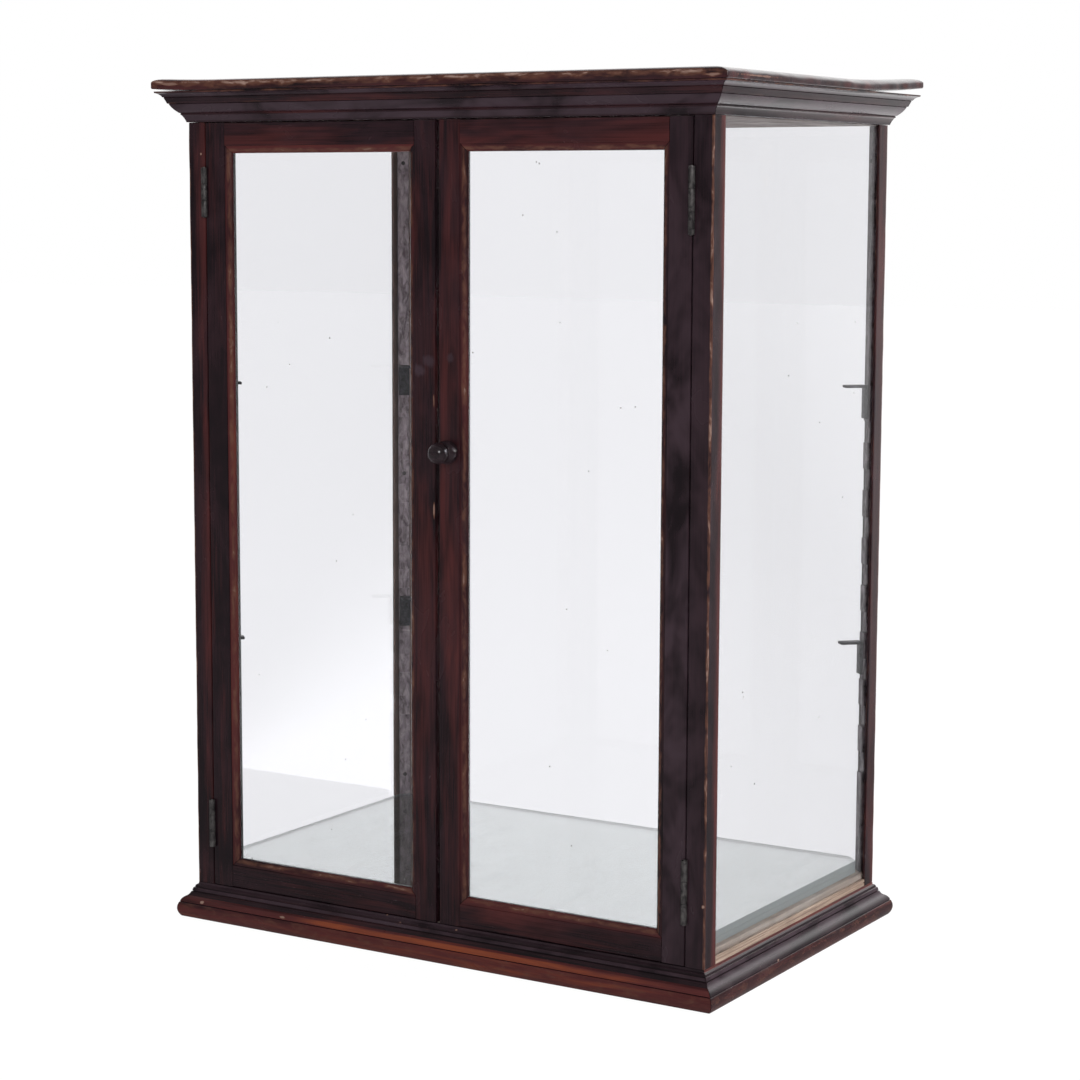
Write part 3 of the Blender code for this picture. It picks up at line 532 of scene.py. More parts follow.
cornice = {
    "projection": 19.8 * mm, "back": -3.7 * mm, "arris": 0.35 * mm, "easedRows": (0,),
    "profile": (
        (0.061, 0.0, 0.5, -0.3), (0.071, 0.033, 0.0, -0.3), (0.197, 0.229, 0.1, "splay", -0.2 * mm, 5),
        (0.227, 0.241, 0.5, 0.2), (0.232, 0.282, 0.3, 0.1), (0.217, 0.294, 0.0, 0.0),
        (0.273, 0.306, 0.3, 0.3), (0.566, 0.584, 0.2, "ovolo", 0.5 * mm, 8),
        (0.556, 0.6, 0.0, 0.0), (0.616, 0.608, 0.6, 0.2), (0.717, 0.792, 0.2, 0.1), (0.702, 0.804, 0.0, 0.0),
        (0.753, 0.816, 0.3, 0.2), (0.929, 0.935, 0.1, "cove", -0.4 * mm, 6),
        (0.99, 0.951, 0.7, 0.3), (1.0, 1.0, 0.7, 0.3),
    ),
    "rub": {
        "front": {"splay": -0.85, "ovolo": -0.95, "cove": -0.95},
        "ends": {"splay": 0.15, "ovolo": -1.0, "cove": -0.85},
        "back": {"splay": 0.2, "ovolo": 0.1, "cove": 0.2},
    },
}
frontRub = (0.7, 1.0, 15 * mm, 130 * mm)


def mouldingCorners(size, low, high, rubs):
    corners = [corner(size["back"], low)]
    last = None
    for number, (out, up, wear, rub, *curve) in enumerate(size["profile"]):
        here = (size["projection"] * out, low + (high - low) * up)
        radius = size["arris"] if number in size["easedRows"] else 0.0
        for step, p in enumerate(bow(last, here, *curve) if curve else [Vector(here)]):
            zone = rub[step] if isinstance(rub, tuple) else rub
            corners.append(corner(p.x, p.y, radius, wear, rubs.get(zone, zone)))
        last = here
    return corners + [corner(size["back"], high)]


for turn, side in enumerate(("front", "right", "back", "left")):
    across = side in ("front", "back")
    halfLength, halfBreadth = (halfWidth, halfDepth) if across else (halfDepth, halfWidth)
    outward = axesAt((0, -halfBreadth, 0), (0, -1, 0), (0, 0, 1), (1, 0, 0))
    place = Matrix.Rotation(turn * math.pi / 2, 4, "Z") @ outward
    reach = halfLength - gap
    for kind, size, low, high in (
        ("base_moulding", baseMoulding, 0.0, baseTop), ("cornice", cornice, corniceLow, corniceHigh),
    ):
        mesh = bmesh.new()
        corners = mouldingCorners(size, low, high, size["rub"][side if across else "ends"])
        rubZone = frontRub if side == "front" else evenRub
        sweep(mesh, corners, -reach, reach, place, turn + len(kind), (-1.0, 1.0), rubZone)
        finishPiece(f"{kind}_{side}", mesh, mahogany["x" if across else "y"], "case")
print("mouldings swept")


# Posts: the front pair carry one lip for the side pane, the rear pair two lips
postSize = {
    "lip": 1.7 * mm, "arris": 1.0 * mm, "rub": {"left": (0.5, 0.1, 0.4), "right": (-0.45, -0.35, 1.35)},
    # The rear posts' inside corners and lips are drawn pale: partly bare wood, partly painted light where
    # little light reaches inside; the left lip is wholly pale
    "flankFade": 0.6, "lipWear": {"left": 2.2, "right": 0.9},
}
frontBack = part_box("side_pane_right")[0].y - gap
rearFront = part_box("side_pane_right")[1].y + gap
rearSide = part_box("back_pane")[1].x + gap
postInside = lowRight.x
lipEnd = -highRight.y
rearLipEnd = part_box("post_rear_right")[0].y
lipX = halfWidth - postSize["lip"]
lipY = halfDepth - postSize["lip"]


def postCorners(row, side, size):
    arris = size["arris"]
    inner, outer, flank = size["rub"][side]
    # the rear lips' paleness: bare wood, and partly painted light
    bare = size["lipWear"][side]
    if row == "front":
        return [
            corner(postInside, -halfDepth, arris, 0.45, inner),
            corner(halfWidth, -halfDepth, arris * 1.2, 0.92, outer),
            corner(halfWidth, -lipEnd, arris * 0.5, 0.0, flank - size["flankFade"]),
            corner(lipX, -lipEnd),
            corner(lipX, frontBack),
            corner(postInside, frontBack, arris * 0.5, 0.4, 0.2),
        ]
    return [
        corner(halfWidth, halfDepth, arris * 1.3, 0.8, 0.5),
        corner(postInside, halfDepth, arris * 0.5, 0.8, 0.3),
        corner(postInside, lipY, 0, 0.7, 0.3),
        corner(rearSide, lipY, 0, bare, 0.3),
        corner(rearSide, rearFront, 0, bare, 0.3),
        corner(lipX, rearFront, 0, bare, 0.3),
        corner(lipX, rearLipEnd, 0, bare, 0.3),
        corner(halfWidth, rearLipEnd, arris * 0.5, 0.6, 0.3),
    ]


for row in ("front", "rear"):
    for side, sign in (("left", -1), ("right", 1)):
        mesh = bmesh.new()
        place = axesAt((0, 0, 0), (sign, 0, 0), (0, 1, 0), (0, 0, 1))
        sweep(mesh, postCorners(row, side, postSize), postLow, postHigh, place, sign * 2 + len(row))
        finishPiece(f"post_{row}_{side}", mesh, mahogany["z"], "case")
print("posts swept")


# Doors: stiles and rails of one section, with a quirked lip mitred round the glass
doorSize = {
    "stileFlat": 19.3 * mm, "railFlat": 18.5 * mm, "arris": 0.9 * mm, "seed": {"left": 10, "right": 20},
    "lipWidth": 6.0 * mm, "lipDepth": 4.2 * mm, "quirk": 0.8 * mm, "lipEdge": 1.0 * mm,
    "lipFlatness": 6, "lipSteps": 8, "lipWear": (0.25, 0.6),
    "beadSetback": 2.0 * mm, "beadSplay": 2.7 * mm, "beadCut": 0.15 * mm, "beadSeed": 31,
    "rubZone": {"z": (0.35, 1.0, 270 * mm, 280 * mm), "x": evenRub},
    "rub": {
        "left": {
            "hinge_stile": (0.0, 0.1, 1.1), "meeting_stile": (0.3, 0.45, 0.6),
            "bottom_rail": (0.05, 0.45, 0.6), "top_rail": (0.15, 0.35, 0.8),
        },
        "right": {
            "hinge_stile": (-0.75, -0.8, 0.2), "meeting_stile": (0.25, 0.5, 0.6),
            "bottom_rail": (0.1, 0.4, 0.6), "top_rail": (0.45, 0.65, 0.6),
        },
    },
}


def barCorners(flat, thick, arris, outer, inner):
    return [
        corner(0, 0, arris, 0.5, outer),
        corner(flat, 0, arris * 0.5, 0.45, inner),
        corner(flat, thick, arris * 0.5, 0.3, 0.5),
        corner(0, thick, arris, 0.6, 0.1),
    ]


def lipCorners(flat, size, rub):
    width, depth, steps = size["lipWidth"], size["lipDepth"], size["lipSteps"]
    leastWear, wearSwell = size["lipWear"]
    start = (flat, size["quirk"])
    end = (flat + width, depth - size["lipEdge"])
    rise = math.hypot(end[0] - start[0], end[1] - start[1]) / size["lipFlatness"]
    corners = [corner(flat - gap, size["quirk"], 0, 0.0, rub)]
    for i, p in enumerate(bow(start, end, rise, steps)):
        wear = leastWear + wearSwell * math.sin(math.pi * (i + 1) / (steps + 1))
        corners.append(corner(p.x, p.y, 0, wear, rub))
    corners.append(corner(flat + width, depth, 0, 0.3, rub))
    corners.append(corner(flat - gap, depth, 0, 0.0, 0.5))
    return corners


# the left, right, lower and upper side of an upright frame, seen from the front and drawn inwards
def frameSides(x0, x1, y, z0, z1):
    return [axesAt(origin, inwards, (0, 1, 0), along) for origin, inwards, along in (
        ((x0, y, z0), (1, 0, 0), (0, 0, 1)), ((x1, y, z0), (-1, 0, 0), (0, 0, 1)),
        ((x0, y, z0), (0, 0, 1), (1, 0, 0)), ((x0, y, z1), (0, 0, -1), (1, 0, 0)),
    )]


def makeDoor(side, size):
    door = side + "_door"
    hinge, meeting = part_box(door + "_hinge_stile"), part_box(door + "_meeting_stile")
    left, right = min(hinge[0].x, meeting[0].x), max(hinge[1].x, meeting[1].x)
    low, high = hinge[0].z, hinge[1].z
    thick = hinge[1].y + halfDepth
    stile, rail = size["stileFlat"], size["railFlat"]
    names = ["hinge_stile", "meeting_stile"] if side == "left" else ["meeting_stile", "hinge_stile"]
    names += ["bottom_rail", "top_rail"]
    for number, (name, place) in enumerate(zip(names, frameSides(left, right, -halfDepth, low, high))):
        if name.endswith("stile"):
            axis, flat, length, barInset, lipInset = "z", stile, high - low, 0.0, rail
        else:
            axis, flat, length, barInset, lipInset = "x", rail, right - left, stile + gap, stile + 2 * gap
        mesh = bmesh.new()
        seed = number + size["seed"][side]
        outer, inner, lipRub = size["rub"][side][name]
        zone = size["rubZone"][axis]
        bar = barCorners(flat, thick, size["arris"], outer, inner)
        sweep(mesh, bar, barInset, length - barInset, place, seed, rubZone=zone)
        # the lip's ends run in with its width, so its mitre starts from the flat's own edge
        lip, start = lipCorners(flat, size, lipRub), lipInset - flat
        sweep(mesh, lip, start, length - start, place, seed, (1.0, -1.0), zone)
        finishPiece(f"{door}_{name}", mesh, mahogany[axis], door)

    # the glazing bead is near-black, a painted shade for the shadow in the rebate
    mesh = bmesh.new()
    (x0, y0, z0), (x1, y1, z1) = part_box(door + "_glazing_bead")
    width = size["lipWidth"] - gap - size["beadSetback"]
    splay, thick, cut = size["beadSplay"], y1 - y0, size["beadCut"]
    profile = [corner(0, 0), corner(width, 0), corner(width - splay, thick), corner(0, thick)]
    lengths = (z1 - z0, z1 - z0, x1 - x0, x1 - x0)
    for place, length in zip(frameSides(x0, x1, y0, z0, z1), lengths):
        sweep(mesh, profile, cut, length - cut, place, size["beadSeed"], (1.0, -1.0))
    finishPiece(door + "_glazing_bead", mesh, darkBead, door, side + "DoorBead")


for side in ("left", "right"):
    makeDoor(side, doorSize)
print("doors made")


# Top board: thin, warped up at two corners, its edge rounded and chipped by use
# A lift is its corner's sign, height and reach; a round its reach and drop; wear and rub fade over a reach
topBoard = {
    "lifts": ((-1, 1.6 * mm, 60 * mm), (1, 5.2 * mm, 120 * mm)), "liftPower": 1.5,
    "thickness": 8.5 * mm, "cell": 7 * mm,
    "edgeCells": [e * mm for e in (0.0, 0.2, 0.5, 1.0, 1.8, 3.0, 4.5, 7.0, 10, 14)],
    "underRound": (1.2 * mm, 1.2 * mm), "frontRound": (4.5 * mm, 3.0 * mm), "endRound": (14 * mm, 4.6 * mm),
    "rough": 0.25, "roughPitch": 70, "roughDraw": 1.7,
    "chip": 0.7 * mm, "chipStart": 0.1, "chipPitch": 160, "chipDraw": 8.1, "chipDepth": 0.3 * mm,
    "edgeWear": (0.55, 8 * mm), "frontWear": (1.05, 3 * mm), "rub": (0.35, 30 * mm),
}


def makeTopBoard(size):
    low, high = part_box("top_board")
    halfX, halfY, level = high.x, high.y, low.z
    mesh = bmesh.new()
    wearLayer, rubLayer = (mesh.verts.layers.float.new(key) for key in ("wear", "rub"))

    def stations(half):
        edge = size["edgeCells"]
        inner = half - edge[-1]
        steps = round(2 * inner / size["cell"])
        middle = [-inner + 2 * inner * i / steps for i in range(1, steps)]
        return [-half + e for e in edge] + middle + [half - e for e in reversed(edge)]

    def rounded(inset, shape, rough):
        reach, drop = shape
        share = min(1.0, inset / reach)
        return drop * (1 + size["rough"] * rough) * (1 - math.sqrt(1 - (1 - share) ** 2))

    def lift(x, y):
        rise = 0.0
        for sign, height, reach in size["lifts"]:
            away = math.hypot(x - sign * halfX, y - sign * halfY)
            rise += height * max(0.0, 1 - away / reach) ** size["liftPower"]
        return rise

    def drawn(x, y, key):
        pitch = size[key + "Pitch"]
        return noise.noise((x * pitch, y * pitch, size[key + "Draw"]))

    edgeWear, edgeFade = size["edgeWear"]
    frontWear, frontFade = size["frontWear"]
    mostRub, rubFade = size["rub"]
    xs, ys = stations(halfX), stations(halfY)
    sheets = []
    for under in (True, False):
        sheet = []
        for x in xs:
            row = []
            for y in ys:
                insetX, insetY = halfX - abs(x), halfY - abs(y)
                inset = min(insetX, insetY)
                rough = drawn(x, y, "rough")
                if under:
                    drop = rounded(inset, size["underRound"], rough)
                else:
                    drop = rounded(insetX, size["endRound"], rough)
                    drop = max(drop, rounded(insetY, size["frontRound"], rough))
                chip = size["chip"] * max(0.0, drawn(x, y, "chip") - size["chipStart"])
                px = x - math.copysign(chip, x) * (insetX < size["chipDepth"])
                py = y - math.copysign(chip, y) * (insetY < size["chipDepth"])
                z = level + lift(x, y) + (drop if under else size["thickness"] - drop)
                vert = mesh.verts.new((px, py, z))
                front = 0.0 if under else frontWear - (y + halfY) / frontFade
                vert[wearLayer] = max(0.0, edgeWear - inset / edgeFade, front)
                vert[rubLayer] = max(0.0, 1 - inset / rubFade) * mostRub
                row.append(vert)
            sheet.append(row)
        sheets.append(sheet)
    rims = []
    for sheet in sheets:
        for near, far in zip(sheet, sheet[1:]):
            for j in range(len(ys) - 1):
                mesh.faces.new((near[j], far[j], far[j + 1], near[j + 1]))
        rim = [row[0] for row in sheet] + sheet[-1][1:]
        rims.append(rim + [row[-1] for row in reversed(sheet[:-1])] + sheet[0][-2:0:-1])
    for i in range(len(rims[0])):
        j = (i + 1) % len(rims[0])
        mesh.faces.new((rims[0][i], rims[0][j], rims[1][j], rims[1][i]))
    finishPiece("top_board", mesh, mahogany["x"], "case")


makeTopBoard(topBoard)
print("top board made")


# Metalwork taken from the frame: merged, its edges eased
easedMetal = {
    "clip": 0.35 * mm, "hinge": 0.12 * mm, "tongue": 0.5 * mm, "case": 0.3 * mm,
    "flatAngle": 1, "sharpAngle": 50, "smoothAngle": 35,
}


def easedCopy(node, kind, material, body):
    mesh = bmesh.new()
    mesh.from_mesh(cadNodes[node].data)
    bmesh.ops.remove_doubles(mesh, verts=mesh.verts, dist=2 * weld)
    flat, sharp = (math.radians(easedMetal[key]) for key in ("flatAngle", "sharpAngle"))
    bmesh.ops.dissolve_limit(mesh, angle_limit=flat, verts=mesh.verts, edges=mesh.edges)
    edges = [e for e in mesh.edges if e.is_manifold and e.calc_face_angle() > sharp]
    bmesh.ops.bevel(mesh, geom=edges, offset=easedMetal[kind], segments=2, profile=0.5,
                    affect="EDGES", clamp_overlap=True)
    finishPiece(node, mesh, material, body, smoothAngle=easedMetal["smoothAngle"])


for node in sorted(cadNodes):
    if node.startswith("shelf_clip"):
        easedCopy(node, "clip", clipIron, "case")
    elif node.endswith(("post_leaf", "hinge_pin")):
        easedCopy(node, "hinge", hingeBrass, "case")
    elif node.endswith("door_leaf"):
        easedCopy(node, "hinge", hingeBrass, node.split("_")[0] + "_door")
easedCopy("turn_tongue", "tongue", clipIron, "knob")
easedCopy("bolt_case", "case", brassBolt, "left_door")
print("metalwork eased")


def lathe(profile, place, sides):
    mesh = bmesh.new()
    poles = [mesh.verts.new(place @ Vector((0, 0, profile[i][1]))) for i in (0, -1)]
    angles = [2 * math.pi * i / sides for i in range(sides)]
    rings = []
    for radius, height in profile:
        points = [Vector((radius * math.cos(a), radius * math.sin(a), height)) for a in angles]
        rings.append([mesh.verts.new(place @ point) for point in points])
    for i in range(sides):
        j = (i + 1) % sides
        mesh.faces.new((poles[0], rings[0][i], rings[0][j]))
        mesh.faces.new((poles[1], rings[-1][i], rings[-1][j]))
        for low, high in zip(rings, rings[1:]):
            mesh.faces.new((low[i], low[j], high[j], high[i]))
    return mesh


def ballPoints(centre, radius, start, end, steps):
    points = []
    for i in range(steps + 1):
        angle = math.radians(start + (end - start) * i / steps)
        points.append((radius * math.sin(angle), centre - radius * math.cos(angle)))
    return points


# Knob: two balls that run into each other, on a spindle through the stile
knob = {
    "headRadius": 8.5 * mm, "footRadius": 9.4 * mm, "footCentre": 3.5 * mm, "spindle": 3.0 * mm,
    "sides": 48, "footSteps": 18, "headSteps": 24, "headEnd": 177,
}


def makeKnob(size):
    low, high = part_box("turn_knob")
    centre = (low + high) / 2
    head, foot, footCentre = size["headRadius"], size["footRadius"], size["footCentre"]
    place = axesAt((centre.x, -halfDepth, centre.z), (1, 0, 0), (0, 0, 1), (0, -1, 0))
    headCentre = -halfDepth - low.y - head
    spread = headCentre - footCentre
    crossing = (spread ** 2 + foot ** 2 - head ** 2) / (2 * spread)
    waist = math.sqrt(foot ** 2 - crossing ** 2) + gap / 3
    footStart = math.degrees(math.acos((footCentre - gap) / foot))
    footEnd = 180 - math.degrees(math.asin(waist / foot))
    headStart = math.degrees(math.asin(waist / head))
    profile = [(size["spindle"], -(high.y + halfDepth)), (size["spindle"], gap)]
    profile += ballPoints(footCentre, foot, footStart, footEnd, size["footSteps"])
    profile += ballPoints(headCentre, head, headStart, size["headEnd"], size["headSteps"])
    finishPiece("turn_knob", lathe(profile, place, size["sides"]), knobPolish, "knob")


makeKnob(knob)

boltRod = {
    "radius": 2.0 * mm, "ball": 3.5 * mm, "tip": 0.5 * mm, "sides": 32, "ballStart": 4, "ballSteps": 16,
}


def makeBoltRod(size):
    low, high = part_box("bolt_rod")
    centre = (low + high) / 2
    radius, ball, tip = size["radius"], size["ball"], size["tip"]
    neck = 180 - math.degrees(math.asin(radius / ball))
    profile = ballPoints(low.z + ball, ball, size["ballStart"], neck, size["ballSteps"])
    profile += [(radius, high.z - tip), (radius - tip, high.z)]
    mesh = lathe(profile, Matrix.Translation((centre.x, centre.y, 0)), size["sides"])
    finishPiece("bolt_rod", mesh, brassBolt, "bolt")


makeBoltRod(boltRod)
print("knob and bolt turned")


# Sill beads: a double bead of tan wood along the foot of each outer pane
sillBead = {
    "height": 5.7 * mm, "round": 0.8 * mm, "depth": 1.7 * mm, "groove": 0.7 * mm, "grooveAt": 2.7 * mm,
    "paneGap": 0.1 * mm, "endGap": 0.5 * mm, "seeds": {"side": 41, "back": 44},
}


def makeSillBeads(size):
    mesh = bmesh.new()
    depth, height, ease = size["depth"], size["height"], size["round"]
    bed, low = depth - size["groove"], size["grooveAt"]
    profile = [
        corner(0, 0), corner(depth, 0), corner(depth, low - ease), corner(bed + 0.2 * ease, low - 0.3 * ease),
        corner(bed, low), corner(bed + 0.2 * ease, low + 0.3 * ease), corner(depth, low + ease),
        corner(depth, height - ease), corner(depth - 0.3 * ease, height - 0.3 * ease),
        corner(depth - ease, height), corner(0, height),
    ]
    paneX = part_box("side_pane_right")[1].x + size["paneGap"]
    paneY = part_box("back_pane")[1].y + size["paneGap"]
    short, seeds = size["endGap"], size["seeds"]
    for sign in (-1, 1):
        place = axesAt((sign * paneX, 0, postLow), (sign, 0, 0), (0, 0, 1), (0, 1, 0))
        sweep(mesh, profile, -lipEnd + short, rearLipEnd - short, place, seeds["side"] + sign)
    place = axesAt((0, paneY, postLow), (0, 1, 0), (0, 0, 1), (1, 0, 0))
    sweep(mesh, profile, -(postInside - short), postInside - short, place, seeds["back"])
    finishPiece(None, mesh, sillWood, "case", "sillBeads")


makeSillBeads(sillBead)
print("sill beads swept")


# Screws: slotted countersunk heads, set by one tree at points that carry their turn
screwHead = {
    "radius": 2.6 * mm, "dome": 0.12 * mm, "slotWidth": 0.5 * mm, "slotFloor": 0.2, "slotReach": 0.98,
    "rim": 0.94, "sides": 16, "scale": 0.72, "spin": 3, "spinDraw": (1.7, 0.4),
}
# Screws of a hinge leaf: share of its height and distance behind the pin; of a strip: shares of its height
leafScrews = {"spots": ((0.16, 9.0 * mm), (0.5, 6.2 * mm), (0.84, 9.0 * mm)), "leafGap": 0.2 * mm}
boltScrews = {"flange": 1.75 * mm, "endInset": 6 * mm, "thickness": 1.2 * mm}
stripScrews = {"shares": (0.045, 0.5, 0.955), "thickness": 3.5 * mm}


def looseObject(name, mesh):
    data = bpy.data.meshes.new(name)
    mesh.to_mesh(data)
    mesh.free()
    made = bpy.data.objects.new(name, data)
    scene.collection.objects.link(made)
    return made


def makeScrewTemplate(size):
    mesh = bmesh.new()
    radius, half, rise = size["radius"], size["slotWidth"] / 2, size["dome"]
    steps = size["sides"] // 2
    start = math.asin(half / radius)
    for sign in (-1, 1):
        angles = [start + (math.pi - 2 * start) * i / steps for i in range(steps + 1)]
        rim = [(radius * math.cos(a), sign * radius * math.sin(a)) for a in angles]
        outer = [mesh.verts.new((x, y, 0)) for x, y in rim]
        inner = size["rim"]
        eased = [mesh.verts.new((x * inner, max(half, abs(y) * inner) * sign, rise)) for x, y in rim]
        for i in range(steps):
            mesh.faces.new((outer[i], outer[i + 1], eased[i + 1], eased[i]))
        mesh.faces.new(eased)
        mesh.faces.new((outer[0], eased[0], eased[-1], outer[-1]))
        mesh.faces.new(outer)
    reach, floor = radius * size["slotReach"], rise * size["slotFloor"]
    slot = ((-reach, -half), (reach, -half), (reach, half), (-reach, half))
    bed, base = ([mesh.verts.new((x, y, z)) for x, y in slot] for z in (floor, 0))
    mesh.faces.new(bed)
    mesh.faces.new(base)
    for i in range(4):
        j = (i + 1) % 4
        mesh.faces.new((bed[i], bed[j], base[j], base[i]))
    bmesh.ops.recalc_face_normals(mesh, faces=mesh.faces)
    return looseObject("screwTemplate", mesh)


def makeScrewTree(template, material):
    tree = bpy.data.node_groups.new("screwHeads", "GeometryNodeTree")
    face = tree.interface
    face.new_socket("Points", in_out="INPUT", socket_type="NodeSocketGeometry")
    sizeInput = face.new_socket("Head Scale", in_out="INPUT", socket_type="NodeSocketFloat")
    face.new_socket("Screws", in_out="OUTPUT", socket_type="NodeSocketGeometry")
    entry = addNode(tree, "NodeGroupInput")
    head = addNode(tree, "GeometryNodeObjectInfo", {"Object": template})
    turn = addNode(tree, "GeometryNodeInputNamedAttribute", {"Name": "turn"}, data_type="FLOAT_VECTOR")
    placed = addNode(tree, "GeometryNodeInstanceOnPoints", {
        "Points": entry.outputs["Points"], "Instance": head.outputs["Geometry"],
        "Rotation": turn.outputs["Attribute"], "Scale": entry.outputs["Head Scale"],
    })
    real = addNode(tree, "GeometryNodeRealizeInstances", {"Geometry": placed.outputs["Instances"]})
    inputs = {"Geometry": real.outputs["Geometry"], "Material": material}
    painted = addNode(tree, "GeometryNodeSetMaterial", inputs)
    addNode(tree, "NodeGroupOutput", {"Screws": painted.outputs["Geometry"]})
    return tree, sizeInput.identifier


def setScrews(name, spots, tree, sizeId, size, body):
    mesh = bmesh.new()
    turnLayer = mesh.verts.layers.float_vector.new("turn")
    step, draw = size["spinDraw"]
    for number, (point, outward) in enumerate(spots):
        vert = mesh.verts.new(point)
        spin = noise.noise((number * step, size["scale"], draw)) * size["spin"]
        turn = Vector(outward).to_track_quat("Z", "Y") @ Matrix.Rotation(spin, 3, "Z").to_quaternion()
        vert[turnLayer] = Vector(turn.to_euler())
    points = looseObject(name + "Points", mesh)
    modifier = points.modifiers.new("screws", "NODES")
    modifier.node_group = tree
    modifier[sizeId] = size["scale"]
    grown = points.evaluated_get(bpy.context.evaluated_depsgraph_get())
    made = bpy.data.meshes.new_from_object(grown)
    points.modifiers.remove(modifier)
    bpy.data.objects.remove(points)
    made.name = name
    hang(name, made, body)


def heightAt(low, high, share):
    return low.z + (high.z - low.z) * share


def leafSpots(node, x, outward):
    low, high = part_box(node)
    return [((x, inset - halfDepth, heightAt(low, high, share)), (outward, 0, 0))
            for share, inset in leafScrews["spots"]]


pinLow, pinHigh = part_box("right_lower_hinge_pin")
hingeX = (pinLow.x + pinHigh.x) / 2
screwSpots = {"case": [], "left_door": [], "right_door": []}
for side, sign in (("left", -1), ("right", 1)):
    for level in ("lower", "upper"):
        hinge = f"{side}_{level}_hinge"
        postX, doorX = sign * (hingeX + leafScrews["leafGap"]), sign * (hingeX - leafScrews["leafGap"])
        screwSpots["case"] += leafSpots(hinge + "_post_leaf", postX, -sign)
        screwSpots[side + "_door"] += leafSpots(hinge + "_door_leaf", doorX, sign)
boltLow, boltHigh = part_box("bolt_case")
inset, flange = boltScrews["endInset"], boltScrews["flange"]
for z in (boltLow.z + inset, boltHigh.z - inset):
    for x in (boltLow.x + flange, boltHigh.x - flange):
        screwSpots["left_door"].append(((x, boltLow.y + boltScrews["thickness"], z), (0, 1, 0)))
strips = [node for node in sorted(cadNodes) if node.startswith("shelf_strip")]
for node in strips:
    low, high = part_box(node)
    outward = Vector((-1 if low.x + high.x > 0 else 1, 1 if "front" in node else -1, 0))
    centre = (low + high) / 2 + outward.normalized() * stripScrews["thickness"] / 2
    for share in stripScrews["shares"]:
        screwSpots["case"].append(((centre.x, centre.y, heightAt(low, high, share)), outward))

screwTemplate = makeScrewTemplate(screwHead)
screwTree, screwSizeId = makeScrewTree(screwTemplate, hingeBrass)
for body, spots in screwSpots.items():
    setScrews(pieceName(body) + "Screws", spots, screwTree, screwSizeId, screwHead, body)
bpy.data.objects.remove(screwTemplate)
print("screws set")


# Frame nodes whose shape is right keep it and take a finish
# the bottom board's pale deal is partly painted light; the ceiling's darker stain patches are partly painted
# shade
keptFinishes = {"bottom_board": deal, "ceiling_board": ceilingWoodShaded}
for node in cadNodes:
    if "pane" in node:
        keptFinishes[node] = paneGlass
    elif node.startswith("glass_shelf"):
        keptFinishes[node] = plateGlass
    elif node in strips:
        # the right-hand strips take the darker steel, a painted shade
        keptFinishes[node] = stripSteel if "left" in node else rightStripShadedSteel
for node, finish in keptFinishes.items():
    data = cadNodes[node].data
    data.materials.clear()
    data.materials.append(finish)
print("finishes laid on", len(keptFinishes), "frame nodes")


# Camera where the photograph was taken from
cameraView = {
    "place": (1.1338, -1.8437, 0.6056), "yaw": 31.531, "pitch": 7.451, "roll": 0.207,
    "lens": 86.87, "sensor": 36, "clip": (0.05, 50),
}


def makeCamera(view):
    yaw, pitch, roll = (math.radians(view[k]) for k in ("yaw", "pitch", "roll"))
    back = Vector((math.sin(yaw) * math.cos(pitch), -math.cos(yaw) * math.cos(pitch), math.sin(pitch)))
    right = (-back).cross(Vector((0, 0, 1))).normalized()
    up = right.cross(-back)
    rolledRight = right * math.cos(roll) + up * math.sin(roll)
    rolledUp = up * math.cos(roll) - right * math.sin(roll)
    data = bpy.data.cameras.new("camera")
    data.sensor_width = view["sensor"]
    data.lens = view["lens"]
    data.clip_start, data.clip_end = view["clip"]
    camera = bpy.data.objects.new("camera", data)
    camera.matrix_world = axesAt(view["place"], rolledRight, rolledUp, back)
    scene.collection.objects.link(camera)
    scene.camera = camera


makeCamera(cameraView)


# Studio: pale floor and white backdrop; mirrored, the back is bright near the cabinet and the rest is dim
studio = {
    "floor": "#eeeef0", "floorSize": 12, "floorSink": 0.4 * mm, "floorGlow": 0.93, "floorSeen": 1.05,
    "ambient": 0.5, "sideLight": (0.22, 1.8), "sideSpan": (0.62, 0.84), "brightWay": (-0.35, 0.94, 0.0),
    "floorSpan": (0.5, 2.6), "floorFade": (1.0, 0.9), "skySpan": (0.0, 0.4), "skyFade": (0.6, 1.0),
    "aim": (0, 0, 0.35),
}
softBoxes = {
    "rightBox": {"place": (2.1, 1.0, 1.2), "size": 0.8, "power": 24},
    "frontBox": {"place": (1.9, -2.4, 1.7), "size": 0.7, "power": 24},
    "overheadBox": {"place": (0.1, 0.7, 2.7), "size": 1.1, "power": 26},
}


# white to the camera and through glass; what polish mirrors is bright to the back and fades along a measure
def studioLight(tree, place, measure, span, fade, look, seen, plain):
    level = vectorMaths(tree, "MULTIPLY", place, (1, 1, 0))
    way = vectorMaths(tree, "NORMALIZE", level)
    toward = vectorMaths(tree, "DOT_PRODUCT", way, look["brightWay"], output="Value")
    side = ranged(tree, toward, look["sideSpan"], look["sideLight"], "SMOOTHSTEP")
    mirrored = maths(tree, "MULTIPLY", side, ranged(tree, measure, span, fade))
    path = addNode(tree, "ShaderNodeLightPath")
    inMirror = maths(tree, "MINIMUM", path.outputs["Glossy Depth"], 1.0)
    direct = maths(tree, "MAXIMUM", path.outputs["Is Camera Ray"], path.outputs["Is Transmission Ray"])
    light = mixed(tree, direct, plain, seen, "FLOAT")
    return mixed(tree, inMirror, light, mirrored, "FLOAT")


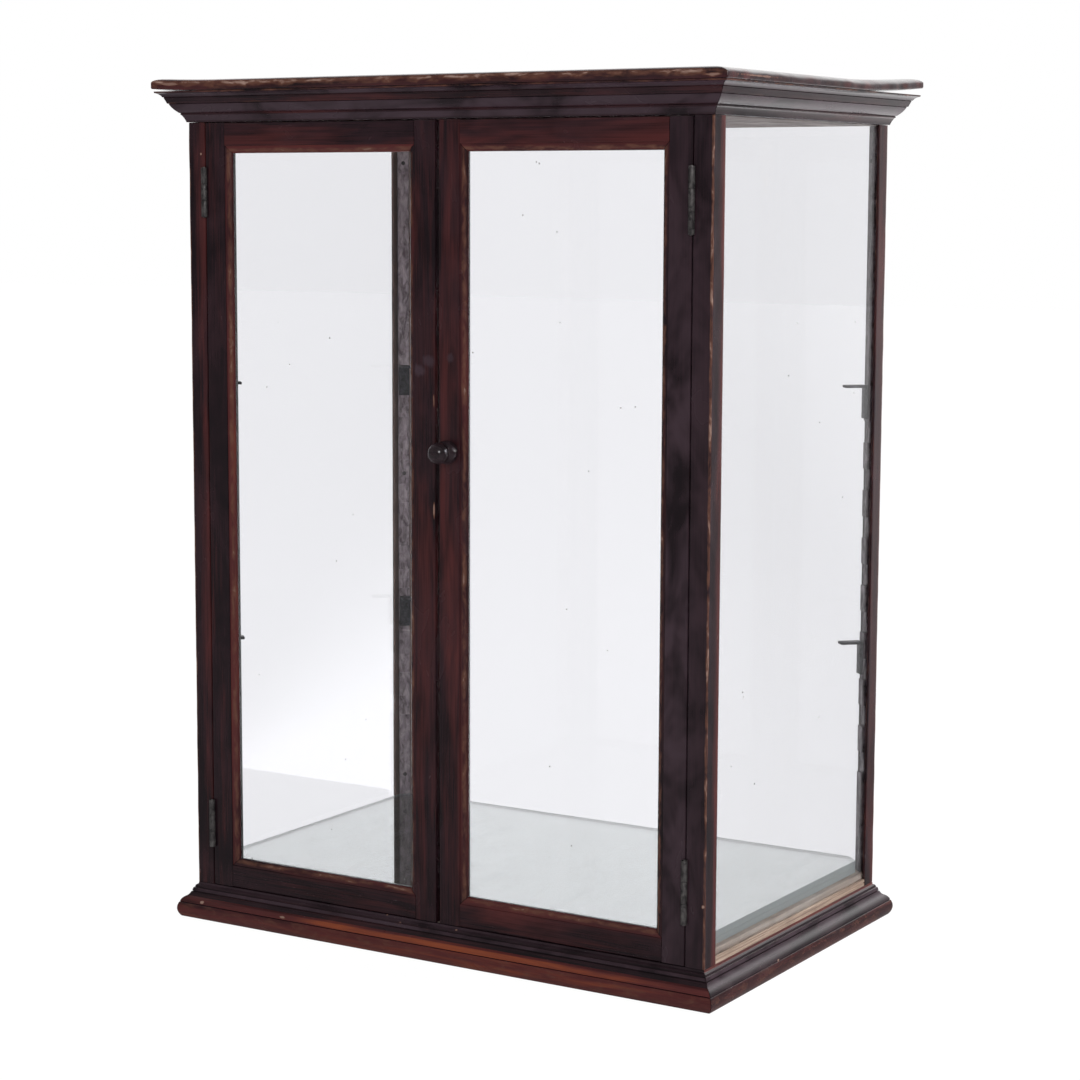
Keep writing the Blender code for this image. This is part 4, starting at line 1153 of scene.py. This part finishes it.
def makeFloor(look):
    mesh = bmesh.new()
    bmesh.ops.create_grid(mesh, x_segments=1, y_segments=1, size=look["floorSize"])
    floor = looseObject("floor", mesh)
    floor.location.z = -look["floorSink"]
    material, tree, place = newMaterial("paleFloor")
    matt = addNode(tree, "ShaderNodeBsdfDiffuse", {"Color": linearColour(look["floor"])})
    away = vectorMaths(tree, "LENGTH", place, output="Value")
    strength = studioLight(
        tree, place, away, look["floorSpan"], look["floorFade"], look, look["floorSeen"], 1.0)
    glow = addNode(tree, "ShaderNodeEmission", {"Strength": strength})
    path = addNode(tree, "ShaderNodeLightPath")
    share = maths(tree, "MULTIPLY_ADD", path.outputs["Is Diffuse Ray"], -look["floorGlow"], look["floorGlow"])
    shown = addNode(tree, "ShaderNodeMixShader", {0: share, 1: matt.outputs[0], 2: glow.outputs[0]})
    addNode(tree, "ShaderNodeOutputMaterial", {"Surface": shown.outputs[0]})
    floor.data.materials.append(material)


def makeWorld(look):
    world = bpy.data.worlds.new("studio")
    scene.world = world
    world.use_nodes = True
    tree = world.node_tree
    tree.nodes.clear()
    place = addNode(tree, "ShaderNodeTexCoord").outputs["Generated"]
    height = addNode(tree, "ShaderNodeSeparateXYZ", {"Vector": place}).outputs["Z"]
    strength = studioLight(
        tree, place, height, look["skySpan"], look["skyFade"], look, 1.0, look["ambient"])
    white = addNode(tree, "ShaderNodeBackground", {"Color": (1, 1, 1, 1), "Strength": strength})
    addNode(tree, "ShaderNodeOutputWorld", {"Surface": white.outputs[0]})


def hangLamps(lamps, aim):
    for name, lamp in lamps.items():
        light = bpy.data.lights.new(name, "AREA")
        light.energy = lamp["power"]
        light.size = lamp["size"]
        holder = bpy.data.objects.new(name, light)
        holder.location = lamp["place"]
        way = Vector(aim) - Vector(lamp["place"])
        holder.rotation_euler = way.to_track_quat("-Z", "Y").to_euler()
        scene.collection.objects.link(holder)


makeFloor(studio)
makeWorld(studio)
hangLamps(softBoxes, studio["aim"])
scene.view_settings.view_transform = "Standard"
print("studio set")
